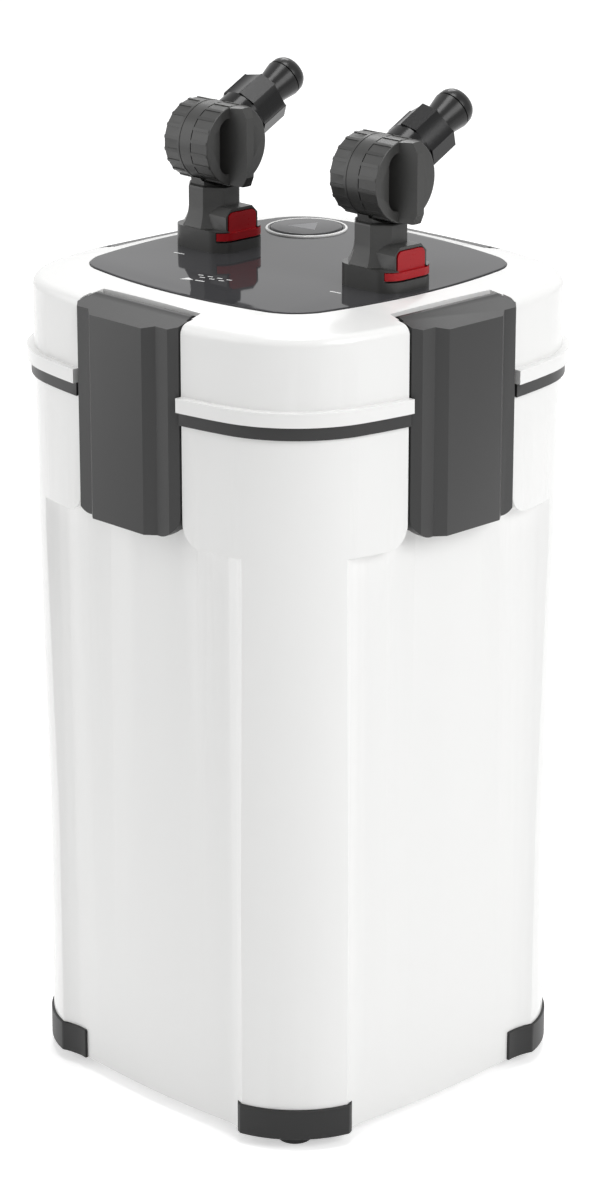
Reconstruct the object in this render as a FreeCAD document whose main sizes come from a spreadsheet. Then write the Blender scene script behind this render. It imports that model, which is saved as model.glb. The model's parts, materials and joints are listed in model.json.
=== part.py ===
import FreeCAD, Part
import math
import os
import re

import Sketcher
from FreeCAD import Placement, Rotation, Vector

# Canister filter, in millimetres and degrees. The floor is z = 0 and z points up. The two hose taps
# stand in line along x with their knobs facing +x, and the hoses leave towards +y.

SIZES = {
    # Canister, from the floor up: studs, feet, floor, tapering wall and rim.
    "stud_drop": 5.5,
    "shell_lift": 0.5,
    "foot_sole": 3.5,
    "foot_height": 15.0,
    "floor_thick": 6.0,
    "rim_level": 348.8,
    "shoulder_drop": 57.3,
    "taper_drop": 18.5,
    "taper_rise": 144.0,
    # Head, from the canister's rim up to the top panel.
    "band_height": 6.3,
    "lip_height": 6.7,
    "wall_height": 32.8,
    "crown_height": 5.4,
    "ring_drop": 0.6,
    # Plan outlines: squares with bulging sides, each given by its half width at mid side, the
    # radius of its sides and the radius of its corners.
    "wall_half": 109.0,
    "wall_bulge": 295.8,
    "wall_corner": 53.2,
    "panel_in": 27.0,
    "panel_bulge": 262.7,
    "panel_corner": 25.3,
    "mouth_corner": 28.0,
    # How far each outline stands out from, or back from, the wall of the head.
    "lip_out": 3.5,
    "band_out": 1.6,
    "taper_in": 2.4,
    # Recessed side panels between the corner pillars.
    "side_depth": 8.9,
    "side_bulge": 500.0,
    "side_chord": 51.0,
    "cove_radius": 27.3,
    "cove_run": 23.0,
    "shell_wall": 4.1,
    # Corner feet and rubber studs.
    "foot_proud": 1.2,
    "foot_bite": 1.6,
    "foot_half_width": 27.0,
    "foot_set": 25.0,
    "stud_radius": 8.5,
    "stud_edge": 1.5,
    "stud_peg": 5.0,
    "stud_peg_rise": 2.6,
    "stud_inset": 25.0,
    # Latches: hinged on the head near its top edge and hooked under a catch on the canister.
    "latch_half": 34.0,
    "latch_drop": 53.8,
    "latch_proud": 6.0,
    "flange_step": 4.0,
    "side_step": 7.5,
    "latch_gap": 2.5,
    "edge_slope": 3.5,
    "flange_width": 7.9,
    "face_slope": 5.1,
    "latch_skin": 2.6,
    "latch_corner": 10.0,
    "latch_brow": 1.2,
    "knuckle_in": 2.0,
    "knuckle_radius": 4.0,
    "pivot_set": 2.0,
    "pivot_drop": 1.8,
    "pin_radius": 1.25,
    "pin_clearance": 0.05,
    "pin_seat": 3.0,
    "slot_gap": 0.8,
    "slot_depth": 10.0,
    "slot_round": 11.0,
    "pocket_gap": 0.5,
    "catch_over": 2.0,
    "catch_reach": 5.5,
    "catch_drop": 15.8,
    "catch_height": 9.0,
    "claw_over": 2.5,
    "claw_clear": 2.4,
    "claw_gap": 0.6,
    "claw_height": 5.0,
    "claw_bite": 0.4,
    "gusset_inset": 3.5,
    "gusset_width": 2.0,
    "gusset_clear": 2.5,
    "gusset_rise": 45.0,
    # Head: cover, base plate with its spigot, and the seal between spigot and canister.
    "cover_wall": 3.0,
    "ceiling_thick": 6.4,
    "cover_edge": 5.0,
    "panel_thick": 3.0,
    "panel_gap": 0.4,
    "panel_edge": 0.5,
    "spigot_deep": 16.8,
    "spigot_gap": 0.6,
    "spigot_wall": 3.6,
    "groove_rise": 6.0,
    "groove_height": 5.0,
    "groove_deep": 2.2,
    "seal_gap": 0.05,
    "seal_play": 0.1,
    "screw_in": 35.0,
    "screw_boss": 5.0,
    "screw_shank": 1.6,
    "screw_play": 0.3,
    "screw_head": 3.6,
    "screw_head_height": 2.6,
    "screw_length": 24.0,
    # Cable gland in the back wall of the cover.
    "gland_place": 55.0,
    "gland_rise": 16.9,
    "gland_radius": 5.0,
    "gland_flange": 7.0,
    "gland_bore": 3.4,
    "gland_deep": 17.0,
    "gland_flush": 2.0,
    "gland_boss_radius": 9.0,
    "gland_flange_thick": 2.0,
    "gland_nose": 4.6,
    "gland_nose_length": 5.0,
    # Pump: housing with its rotor well, rotor, impeller, stator core and coil.
    "pump_back": 40.0,
    "pump_fit": 0.15,
    "pump_flange": 3.0,
    "pump_flange_thick": 2.0,
    "well_wall": 2.5,
    "well_height": 37.7,
    "well_cap": 2.0,
    "shaft_radius": 1.5,
    "shaft_clearance": 0.05,
    "shaft_lift": 0.8,
    "bush_radius": 3.5,
    "bush_height": 3.2,
    "bush_floor": 0.4,
    "bush_boss": 6.0,
    "magnet_radius": 12.4,
    "magnet_gap": 0.8,
    "magnet_rise": 5.2,
    "magnet_height": 25.0,
    "impeller_radius": 18.5,
    "impeller_lift": 2.0,
    "impeller_drop": 1.3,
    "impeller_hub": 5.0,
    "blade_thick": 1.6,
    "shroud_thick": 1.4,
    "volute_gap": 3.0,
    "volute_wall": 3.0,
    "volute_deep": 11.8,
    "volute_cap": 3.0,
    "inlet_eye": 8.5,
    "eye_boss": 5.0,
    "eye_arm": 2.4,
    "duct_radius": 4.4,
    "duct_wall": 1.4,
    "duct_gap": 0.2,
    "core_half": 27.0,
    "core_wrap": 20.0,
    "core_reach": 48.0,
    "core_rise": 4.9,
    "core_height": 18.0,
    "core_air": 0.2,
    "coil_half": 10.5,
    "coil_thick": 4.0,
    "coil_bulge": 6.4,
    "coil_depth": 14.0,
    # Ports in the head, the tube down to the canister floor and the media baskets.
    "port_bore": 9.5,
    "port_wall": 2.5,
    "port_drop": 14.8,
    "port_sunk": 3.2,
    "port_floor": 3.0,
    "port_clearance": 0.3,
    "down_wall": 1.5,
    "down_lift": 4.0,
    "down_insert": 6.0,
    "down_collar": 1.5,
    "down_collar_height": 3.0,
    "basket_gap": 2.0,
    "basket_skin": 2.0,
    "basket_lift": 12.0,
    "basket_play": 2.0,
    "basket_headroom": 16.0,
    "basket_leg": 8.0,
    "leg_in": 30.1,
    "chimney_gap": 0.8,
    "chimney_wall": 1.6,
    "slat_pitch": 12.0,
    "slat_width": 7.0,
    "slat_start": 30.0,
    "slat_in": 22.1,
    "media_gap": 1.0,
    "media_room": 10.0,
    # Primer pump under the round button in the panel's back left corner.
    "primer_left": 47.5,
    "primer_back": 52.0,
    "primer_radius": 17.5,
    "primer_clearance": 0.1,
    "primer_fit": 0.2,
    "primer_wall": 1.9,
    "primer_rise": 1.9,
    "primer_floor_thick": 2.0,
    "bezel_width": 2.5,
    "bezel_rise": 0.9,
    "bezel_edge": 0.4,
    "button_rise": 1.3,
    "button_edge": 1.0,
    "button_deep": 14.0,
    "button_skin": 3.0,
    "piston_drop": 22.0,
    "piston_thick": 5.0,
    "piston_rod": 4.0,
    "piston_play": 0.9,
    "cup_height": 2.4,
    "cup_deep": 1.8,
    "cup_play": 0.05,
    "spring_radius": 9.0,
    "spring_wire": 1.0,
    "spring_pitch": 2.9,
    "spring_play": 0.1,
    "valve_hole": 5.0,
    # Taps: plug-in base with its flared neck and hood, measured from the tap's own upright axis.
    "tap_spacing": 55.75,
    "tap_forward": 1.5,
    "block_left": 14.6,
    "block_right": 21.0,
    "block_half": 15.7,
    "block_corner": 9.0,
    "block_height": 10.3,
    "neck_half": 12.0,
    "neck_height": 29.9,
    "neck_chamfer": 1.2,
    "flare_out": 2.8,
    "flare_height": 9.5,
    "neck_bore": 9.5,
    "plug_in_gap": 0.4,
    "plug_in_deep": 18.0,
    "tap_bore": 6.5,
    "ring_rise": 3.0,
    "ring_deep": 1.3,
    "port_ring_height": 2.4,
    "hood_wall": 1.5,
    "hood_rise": 10.3,
    "hood_back": 2.0,
    "hood_corner": 3.6,
    # Red release rocker in the base's right side.
    "strip_reach": 4.3,
    "strip_rise": 5.9,
    "strip_height": 3.6,
    "strip_gap": 0.9,
    "strip_thick": 2.6,
    "tab_half": 8.8,
    "tab_height": 12.9,
    "tab_back": 1.4,
    "tab_thick": 2.7,
    "tab_corner": 3.0,
    "rocker_gap": 0.35,
    "rocker_room": 2.6,
    # Tap head: swivelling valve housing, valve plug, rear cap and knob.
    "drum_rise": 19.8,
    "drum_radius": 19.1,
    "drum_step": 0.7,
    "drum_back": 14.0,
    "drum_front": 3.9,
    "cap_front": 3.6,
    "cap_proud": 0.2,
    "cap_floor": 3.0,
    "cap_play": 0.1,
    "stub_half": 9.2,
    "swivel_gap": 0.4,
    "stub_gap": 0.1,
    "stub_deep": 15.9,
    "stub_ring_rise": 4.0,
    "stub_ring_height": 2.2,
    "stub_ring_gap": 0.05,
    "valve_radius": 12.9,
    "valve_clearance": 0.05,
    "valve_play": 0.2,
    "valve_front": 2.0,
    "port_back": 3.2,
    "plug_port": 4.8,
    "stem_radius": 5.0,
    "stem_square": 7.2,
    "knob_gap": 0.4,
    "knob_proud": 0.3,
    "knob_face": 15.5,
    "knob_edge": 0.8,
    "knob_recess": 5.2,
    "recess_out": 10.8,
    "recess_high": 13.4,
    "recess_corner": 6.0,
    "knob_cup": 16.4,
    "knob_cup_deep": 4.2,
    "knob_boss": 8.5,
    "grip_half": 6.0,
    "grip_tip": 2.3,
    "grip_rise": 9.5,
    "grip_in": 0.5,
    "grip_drop": 2.6,
    "grip_flat": 14.0,
    "rib_count": 20,
    "rib_groove": 4.5,
    "rib_deep": 0.5,
    "knob_rib_run": 11.0,
    "cap_rib_run": 9.0,
    # Nozzle, hose barb and nut, along the hose axis, which leans up from +y through the drum's middle.
    "hose_lean": 27.7,
    "nozzle_boss": 1.2,
    "nozzle_rise": 1.1,
    "nozzle_radius": 10.2,
    "nozzle_length": 7.3,
    "nozzle_web": 1.8,
    "hose_bore": 6.2,
    "barb_flange": 3.0,
    "barb_waist": 7.8,
    "waist_length": 5.4,
    "flare_length": 8.8,
    "barb_lip": 9.5,
    "barb_groove": 0.5,
    "groove_radius": 8.5,
    "collar_radius": 8.9,
    "collar_length": 4.5,
    "tip_radius": 7.7,
    "tip_length": 2.4,
    "nut_lift": 1.6,
    "nut_collar": 12.0,
    "nut_collar_length": 2.0,
    "nut_length": 15.0,
    "nut_flats": 12.3,
    "nut_pads": 12.9,
    "nut_bevel": 1.0,
    "nut_gap": 0.2,
    "inlet_nut_turn": -13.5,
    "outlet_nut_turn": -30.0,
}

# Places and sizes that follow from the ones above.
PLACES = {
    "shell_under": "stud_drop + shell_lift",
    "foot_floor": "stud_drop + foot_sole",
    "foot_top": "stud_drop + foot_height",
    "cavity_floor": "shell_under + floor_thick",
    "pad_under": "rim_level - shoulder_drop",
    "taper_high": "pad_under - taper_drop",
    "taper_low": "taper_high - taper_rise",
    "flange_level": "rim_level + band_height",
    "lip_level": "flange_level + lip_height",
    "wall_level": "lip_level + wall_height",
    "panel_level": "wall_level + crown_height",
    "ring_level": "panel_level - ring_drop",
    "panel_under": "panel_level - panel_thick",
    "panel_half": "wall_half - panel_in",
    "side_half": "wall_half - side_depth",
    "foot_reach_in": "wall_half - foot_set",
    "stud_place": "foot_reach_in + stud_inset",
    "slot_floor": "wall_half - slot_depth",
    "latch_under": "rim_level - latch_drop",
    "latch_face": "wall_half + latch_proud",
    "latch_flange": "latch_face - flange_step",
    "latch_side": "latch_face - side_step",
    "latch_inner": "slot_floor + latch_gap",
    "latch_flange_half": "latch_half - edge_slope",
    "latch_step_half": "latch_flange_half - flange_width",
    "latch_face_half": "latch_step_half - face_slope",
    "pivot_out": "slot_floor - pivot_set",
    "pivot_level": "wall_level - pivot_drop",
    "latch_face_top": "pivot_level - latch_brow",
    "knuckle_half": "latch_half - knuckle_in",
    "claw_half": "latch_face_half + claw_over",
    "catch_half": "claw_half + catch_over",
    "catch_out": "slot_floor + catch_reach",
    "catch_under": "rim_level - catch_drop",
    "claw_in": "slot_floor + claw_clear",
    "gusset_place": "latch_face_half - gusset_inset",
    "gusset_in": "catch_out + gusset_clear",
    "cover_ceiling": "panel_under - ceiling_thick",
    "spigot_under": "rim_level - spigot_deep",
    "groove_under": "spigot_under + groove_rise",
    "screw_place": "wall_half - screw_in",
    "gland_level": "flange_level + gland_rise",
    "gland_in": "wall_half - gland_deep",
    "gland_boss": "wall_half - gland_flush",
    "gland_end": "gland_boss + gland_flange_thick + gland_nose_length",
    "well_radius": "magnet_radius + magnet_gap",
    "well_top": "rim_level + well_height",
    "magnet_under": "rim_level + magnet_rise",
    "volute_under": "rim_level - volute_deep",
    "volute_radius": "impeller_radius + volute_gap",
    "cap_under": "volute_under - volute_cap",
    "impeller_under": "volute_under + impeller_lift",
    "impeller_top": "rim_level - impeller_drop",
    "duct_level": "rim_level - duct_radius - duct_wall - duct_gap",
    "core_back": "pump_back + core_wrap",
    "core_front": "core_reach - pump_back",
    "core_under": "flange_level + core_rise",
    "port_under": "rim_level - port_drop",
    "port_top": "panel_level - port_sunk",
    "down_bore": "port_bore - down_wall",
    "down_under": "cavity_floor + down_lift",
    "basket_under": "cavity_floor + basket_lift",
    "basket_pitch": "(spigot_under - basket_headroom + basket_play - basket_under) / 3",
    "basket_height": "basket_pitch - basket_play",
    "media_height": "basket_height - basket_skin - media_room",
    "leg_place": "side_half - leg_in",
    "primer_floor": "flange_level + primer_rise",
    "primer_hole": "primer_radius + primer_clearance + primer_wall + primer_fit",
    "bezel_radius": "primer_radius + bezel_width",
    "button_top": "panel_level + button_rise",
    "piston_under": "panel_level - piston_drop",
    "piston_radius": "primer_radius - piston_play",
    "cup_inner": "piston_radius - cup_deep",
    "block_level": "panel_level + block_height",
    "neck_level": "panel_level + neck_height",
    "plug_in_radius": "port_bore - plug_in_gap",
    "plug_in_under": "panel_level - plug_in_deep",
    "port_ring_under": "plug_in_under + ring_rise",
    "port_ring_inner": "plug_in_radius - ring_deep",
    "hood_half": "tab_half + hood_wall",
    "hood_level": "block_level + hood_rise",
    "hood_out": "block_right - hood_back",
    "strip_in": "block_right - strip_reach",
    "strip_under": "panel_level + strip_rise",
    "strip_top": "strip_under + strip_height",
    "tab_out": "block_right - tab_back",
    "tab_in": "tab_out - tab_thick",
    "tab_level": "strip_under + tab_height",
    "drum_level": "neck_level + drum_rise",
    "drum_core": "drum_radius - drum_step",
    "cap_radius": "drum_radius + cap_proud",
    "cap_room": "drum_back - cap_floor",
    "stub_level": "neck_level + swivel_gap",
    "stub_radius": "neck_bore - stub_gap",
    "stub_under": "neck_level - stub_deep",
    "stub_ring_under": "stub_under + stub_ring_rise",
    "stub_ring_inner": "stub_radius - ring_deep",
    "valve_back": "cap_room - valve_play",
    "knob_radius": "drum_radius + knob_proud",
    "knob_back": "drum_front + knob_gap",
    "knob_floor": "knob_face - knob_recess",
    "grip_front": "knob_face + grip_rise",
    "grip_reach": "knob_radius - grip_in",
    "nozzle_shoulder": "drum_radius + nozzle_rise",
    "nozzle_end": "nozzle_shoulder + nozzle_length",
    "nut_start": "nozzle_shoulder + nut_lift",
    "nut_end": "nut_start + nut_length",
    "flare_start": "nut_end + waist_length",
    "barb_lip_at": "flare_start + flare_length",
    "collar_start": "barb_lip_at + barb_groove",
    "collar_end": "collar_start + collar_length",
    "barb_end": "collar_end + tip_length",
}

WALL = ("wall_half", "wall_bulge", "wall_corner")
PANEL = ("panel_half", "panel_bulge", "panel_corner")
MOUTH = ("side_half - shell_wall", "side_bulge - shell_wall", "mouth_corner")
QUARTERS = (0, 90, 180, 270)
SIDES = {"front": 0, "right": 90, "back": 180, "left": 270}
CORNERS = {"front_right": -45, "back_right": 45, "back_left": 135, "front_left": -135}
BLADES = 6
FAR = 160.0
MARGIN = 40.0

doc = FreeCAD.newDocument("canister_filter")
sheet = doc.addObject("Spreadsheet::Sheet", "Sizes")
for row, (alias, value) in enumerate(SIZES.items(), start=1):
    sheet.set("A%d" % row, alias)
    sheet.set("B%d" % row, str(value))
    sheet.setAlias("B%d" % row, alias)
doc.recompute()

nodes = []


# Expressions, names and placements.

def linked(text):
    """The same expression with every size pointing into the sheet and every place worked out from sizes."""
    def entry(word):
        name = word.group(0)
        if name in PLACES:
            return "(%s)" % linked(PLACES[name])
        return "Sizes." + name if name in SIZES else name

    return re.sub(r"[a-z_]\w*", entry, text)


def bind(thing, prop, text):
    thing.setExpression(prop, linked(text))


def amount(text):
    """Value of a sum of sizes, places and numbers, such as 'wall_half - cover_wall'."""
    total, sign = 0.0, 1
    for word in text.split():
        if word in ("+", "-"):
            sign = 1 if word == "+" else -1
        elif word in PLACES:
            total += sign * amount(PLACES[word])
        else:
            total += sign * (SIZES[word] if word in SIZES else float(word))
    return total


def place(thing, at=("0", "0", "0"), axis=None, angle="0"):
    """Put a thing at a bound point, turned by a bound angle about an axis through that point."""
    if axis is not None:
        thing.Placement = Placement(Vector(), Rotation(axis, 1.0))
        bind(thing, "Placement.Rotation.Angle", angle)
    for letter, text in zip("xyz", at):
        bind(thing, "Placement.Base." + letter, text)
    return thing


def keep(thing, label):
    """Name a finished sub-part, which also names its file."""
    thing.Label = label
    nodes.append(thing)
    return thing


# Primitives and booleans.

X_AXIS, Y_AXIS, Z_AXIS = Vector(1, 0, 0), Vector(0, 1, 0), Vector(0, 0, 1)
ALONG = {"z": (None, "0"), "x": (Y_AXIS, "90"), "y": (X_AXIS, "-90")}


def cylinder(name, radius, length, at=("0", "0", "0"), along="z"):
    thing = doc.addObject("Part::Cylinder", name)
    bind(thing, "Radius", radius)
    bind(thing, "Height", length)
    return place(thing, at, *ALONG[along])


def cone(name, low, high, length, at=("0", "0", "0"), along="z"):
    thing = doc.addObject("Part::Cone", name)
    bind(thing, "Radius1", low)
    bind(thing, "Radius2", high)
    bind(thing, "Height", length)
    return place(thing, at, *ALONG[along])


def box(name, low, high):
    """A box between two bound corners."""
    thing = doc.addObject("Part::Box", name)
    for prop, start, end in zip(("Length", "Width", "Height"), low, high):
        bind(thing, prop, "(%s) - (%s)" % (end, start))
    return place(thing, low)


def prism(name, sides, flats, length, at=("0", "0", "0")):
    """A regular prism, given by half its width across flats, with a flat facing +x."""
    thing = doc.addObject("Part::Prism", name)
    thing.Polygon = sides
    bind(thing, "Circumradius", "(%s) / cos(180 / %d)" % (flats, sides))
    bind(thing, "Height", length)
    return place(thing, at, Z_AXIS, "180 / %d" % sides)


def fuse(name, *things):
    thing = doc.addObject("Part::MultiFuse", name)
    thing.Shapes = list(things)
    return thing


def held(name, thing):
    """A holder with a placement of its own, for geometry that already has one."""
    holder = doc.addObject("Part::Compound", name)
    holder.Links = [thing]
    return holder


def common(name, *things):
    thing = doc.addObject("Part::MultiCommon", name)
    thing.Shapes = list(things)
    return thing


def cut(name, base, *tools):
    thing = doc.addObject("Part::Cut", name)
    thing.Base = base
    thing.Tool = tools[0] if len(tools) == 1 else fuse(name + "_tools", *tools)
    return thing


def tube(name, outer, inner, length, at=("0", "0", "0"), along="z"):
    return cut(name, cylinder(name + "_outer", outer, length, at, along),
               cylinder(name + "_inner", inner, length, at, along))


def each_side(name, make):
    """Four copies of a piece of geometry, one turned to each side of the canister."""
    copies = []
    for angle in QUARTERS:
        copy = held("%s_turned_%d" % (name, angle), make("%s_%d" % (name, angle)))
        copies.append(place(copy, ("0", "0", "0"), Z_AXIS, str(angle)))
    return fuse(name, *copies)


# Sketched forms, each in a body of its own.

def new_sketch(body, plane="XY_Plane", offset=None):
    sketch = body.newObject("Sketcher::SketchObject", body.Name + "_sketch")
    base = [face for face in body.Origin.OriginFeatures if face.Role == plane][0]
    sketch.AttachmentSupport = [(base, "")]
    sketch.MapMode = "FlatFace"
    if offset is not None:
        bind(sketch, "AttachmentOffset.Base.z", offset)
    return sketch


def fix(sketch, kind, *where):
    """Add a constraint whose last argument is its bound value."""
    *where, text = where
    number = sketch.addConstraint(Sketcher.Constraint(kind, *where, amount(text)))
    bind(sketch, "Constraints[%d]" % number, text)


def arc(centre, radius, start, end):
    circle = Part.Circle(Vector(centre[0], centre[1], 0), Z_AXIS, radius)
    return Part.ArcOfCircle(circle, math.radians(start), math.radians(end))


def bulged_square(sketch, outline, grow=""):
    """Four bulging sides joined by four tangent corner arcs, all centred on the origin."""
    half, bulge, corner = ["%s %s" % (text, grow) for text in outline]
    side, radius, small = amount(half), amount(bulge), amount(corner)
    reach = radius - side
    middle = (-reach + math.sqrt(2 * (radius - small) ** 2 - reach ** 2)) / 2
    swing = math.degrees(math.atan2(middle, middle + reach))
    for quarter, (x, y) in enumerate(((1, 0), (0, 1), (-1, 0), (0, -1))):
        turn = 90 * quarter
        sketch.addGeometry(arc((-reach * x, -reach * y), radius, turn - swing, turn + swing))
        corner_x, corner_y = middle * (x - y), middle * (x + y)
        sketch.addGeometry(arc((corner_x, corner_y), small, turn + swing, turn + 90 - swing))
    for number in range(8):
        sketch.addConstraint(Sketcher.Constraint("Tangent", number, 2, (number + 1) % 8, 1))
    fix(sketch, "Radius", 0, bulge)
    fix(sketch, "Radius", 1, corner)
    for number in range(2, 8):
        sketch.addConstraint(Sketcher.Constraint("Equal", number % 2, number))
    inward = "%s - %s" % (outline[0], outline[1].replace(" - ", " + "))
    outward = "%s - %s" % (outline[1], outline[0].replace(" - ", " + "))
    for number, kind, axis, text in ((0, "DistanceX", -1, inward), (2, "DistanceY", -2, inward),
                                     (4, "DistanceX", -1, outward), (6, "DistanceY", -2, outward)):
        sketch.addConstraint(Sketcher.Constraint("PointOnObject", number, 3, axis))
        fix(sketch, kind, -1, 1, number, 3, text)


def bulged_prism(name, outline, grow, bottom, top):
    body = doc.addObject("PartDesign::Body", name)
    sketch = new_sketch(body)
    bulged_square(sketch, outline, grow)
    pad = body.newObject("PartDesign::Pad", name + "_pad")
    pad.Profile = sketch
    bind(pad, "Length", "(%s) - (%s)" % (top, bottom))
    return place(body, ("0", "0", bottom))


def bulged_loft(name, low, high):
    """A straight-sided loft between two outlines, each given as outline, growth and level."""
    body = doc.addObject("PartDesign::Body", name)
    sections = []
    for outline, grow, level in (low, high):
        sketch = new_sketch(body, offset=level)
        bulged_square(sketch, outline, grow)
        sections.append(sketch)
    loft = body.newObject("PartDesign::AdditiveLoft", name + "_loft")
    loft.Profile = sections[0]
    loft.Sections = [sections[1]]
    loft.Ruled = True
    return body


def polygon_pad(name, plane, points, length, start):
    """A straight-edged outline in one plane, padded from start by length square to that plane.

    XY pads upwards. XZ pads towards -y, and YZ towards +x.
    """
    body = doc.addObject("PartDesign::Body", name)
    sketch = new_sketch(body, plane, start)
    count = len(points)
    rough = [(math.cos(2 * math.pi * i / count), math.sin(2 * math.pi * i / count)) for i in range(count)]
    for number in range(count):
        first, second = rough[number], rough[(number + 1) % count]
        sketch.addGeometry(Part.LineSegment(Vector(*first, 0), Vector(*second, 0)))
    for number in range(count):
        sketch.addConstraint(Sketcher.Constraint("Coincident", number, 2, (number + 1) % count, 1))
    for number, point in enumerate(points):
        for kind, text, value in zip(("DistanceX", "DistanceY"), point, rough[number]):
            index = sketch.addConstraint(Sketcher.Constraint(kind, -1, 1, number, 1, value))
            bind(sketch, "Constraints[%d]" % index, text)
    pad = body.newObject("PartDesign::Pad", name + "_pad")
    pad.Profile = sketch
    bind(pad, "Length", length)
    return body


def rounded_box(name, low, high, radius, direction):
    """A box whose edges along one direction are rounded."""
    body = doc.addObject("PartDesign::Body", name)
    block = body.newObject("PartDesign::AdditiveBox", name + "_block")
    for prop, letter, start, end in zip(("Length", "Width", "Height"), "xyz", low, high):
        bind(block, prop, "(%s) - (%s)" % (end, start))
        bind(block, "Placement.Base." + letter, start)
    doc.recompute()
    edges = []
    for number, edge in enumerate(block.Shape.Edges, start=1):
        along = edge.Vertexes[-1].Point - edge.Vertexes[0].Point
        if abs(abs(along.normalize().dot(direction)) - 1) < 1e-6:
            edges.append("Edge%d" % number)
    fillet = body.newObject("PartDesign::Fillet", name + "_fillet")
    fillet.Base = (block, edges)
    bind(fillet, "Radius", radius)
    return body


def round_edges(name, thing, radius, wanted):
    """Round the edges of a finished form that a test picks out."""
    doc.recompute()
    fillet = doc.addObject("Part::Fillet", name)
    fillet.Base = thing
    fillet.Edges = [(number, radius, radius)
                    for number, edge in enumerate(thing.Shape.Edges, start=1) if wanted(edge)]
    return fillet


def at_level(edge, level):
    box_of = edge.BoundBox
    return abs(box_of.ZMin - level) < 0.01 and abs(box_of.ZMax - level) < 0.01


# Canister shell, feet and studs.

def side_recess(name, grow, bottom, top):
    """Space outside one side panel: a bulging panel face that sweeps out through a cove each side."""
    body = doc.addObject("PartDesign::Body", name)
    sketch = new_sketch(body, offset=bottom)
    half, bulge = "side_half %s" % grow, "side_bulge %s" % grow
    cove = "cove_radius %s" % grow.replace("+", "*").replace("-", "+").replace("*", "-")
    radius, chord, small = amount(bulge), SIZES["side_chord"], amount(cove)
    centre_y = radius - amount(half)
    lean = math.asin(chord / radius)
    reach = (radius + small) / radius
    cove_x, cove_y = chord * reach, centre_y - radius * math.cos(lean) * reach
    swing = math.degrees(lean)
    edge_x = chord + SIZES["cove_run"]
    edge_turn = math.degrees(math.acos((edge_x - cove_x) / small))
    edge_y = cove_y + small * math.sin(math.radians(edge_turn))
    outer_y = -amount(half) - MARGIN
    sketch.addGeometry(arc((0, centre_y), radius, 270 - swing, 270 + swing))
    sketch.addGeometry(arc((cove_x, cove_y), small, edge_turn, 90 + swing))
    sketch.addGeometry(arc((-cove_x, cove_y), small, 90 - swing, 180 - edge_turn))
    corners = [Vector(edge_x, edge_y, 0), Vector(edge_x, outer_y, 0),
               Vector(-edge_x, outer_y, 0), Vector(-edge_x, edge_y, 0)]
    for first, second in zip(corners, corners[1:]):
        sketch.addGeometry(Part.LineSegment(first, second))
    for constraint in (("Tangent", 0, 2, 1, 2), ("Tangent", 0, 1, 2, 1), ("Coincident", 1, 1, 3, 1),
                       ("Coincident", 3, 2, 4, 1), ("Coincident", 4, 2, 5, 1), ("Coincident", 5, 2, 2, 2),
                       ("Vertical", 3), ("Vertical", 5), ("Horizontal", 4), ("PointOnObject", 0, 3, -2),
                       ("Equal", 1, 2)):
        sketch.addConstraint(Sketcher.Constraint(*constraint))
    fix(sketch, "DistanceY", -1, 1, 0, 3, "side_bulge - side_half")
    fix(sketch, "Radius", 0, bulge)
    fix(sketch, "Radius", 1, cove)
    fix(sketch, "DistanceX", -1, 1, 0, 2, "side_chord")
    fix(sketch, "DistanceX", 0, 1, -1, 1, "side_chord")
    fix(sketch, "DistanceX", -1, 1, 1, 1, "side_chord + cove_run")
    fix(sketch, "DistanceX", 2, 2, -1, 1, "side_chord + cove_run")
    fix(sketch, "DistanceY", 3, 2, -1, 1, "%s + %s" % (half, MARGIN))
    pad = body.newObject("PartDesign::Pad", name + "_pad")
    pad.Profile = sketch
    bind(pad, "Length", "(%s) - (%s)" % (top, bottom))
    return body


def pillared_block(name, grow, bottom, top):
    """The lower canister's cross-section: corner pillars with recessed side panels between them."""
    blank = bulged_prism(name + "_blank", WALL, "- taper_in " + grow, bottom, top)
    sides = each_side(name + "_sides", lambda part: side_recess(part, grow, bottom + " - 1", top + " + 1"))
    return cut(name, blank, sides)


def corner_block(name, angle, bottom, top):
    block = box(name, ("foot_reach_in", "0 - foot_half_width", bottom), (str(FAR), "foot_half_width", top))
    block.Placement = Placement(Vector(), Rotation(Z_AXIS, angle))
    turn = math.radians(angle)
    reach = "foot_reach_in * %.9f - (0 - foot_half_width) * %.9f"
    rise = "foot_reach_in * %.9f + (0 - foot_half_width) * %.9f"
    bind(block, "Placement.Base.x", reach % (math.cos(turn), math.sin(turn)))
    bind(block, "Placement.Base.y", rise % (math.sin(turn), math.cos(turn)))
    bind(block, "Placement.Base.z", bottom)
    return block


def feet():
    """One plastic cap on each corner pillar, with a hole in its floor for a rubber stud.

    Returns the caps and the holes, all of which the shell is cut back from.
    """
    outside = pillared_block("foot_outside", "+ foot_proud", "stud_drop", "foot_top")
    inside = pillared_block("foot_inside", "- foot_bite", "foot_floor", "foot_top + 1")
    ring = cut("foot_ring", outside, inside)
    caps, holes = [], []
    for corner, angle in CORNERS.items():
        name = "foot_" + corner
        block = corner_block(name + "_block", angle, "stud_drop - 1", "foot_top + 1")
        hole = stud_cylinder(name + "_hole", angle, "stud_peg", "foot_floor", "stud_drop - 1")
        caps.append(keep(cut(name, common(name + "_cap", ring, block), hole), name))
        holes.append(hole)
    return caps + holes


def stud_cylinder(name, angle, radius, top, bottom):
    turn = math.radians(angle)
    place_x = "stud_place * %.9f" % math.cos(turn)
    place_y = "stud_place * %.9f" % math.sin(turn)
    return cylinder(name, radius, "%s - (%s)" % (top, bottom), (place_x, place_y, bottom))


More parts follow.
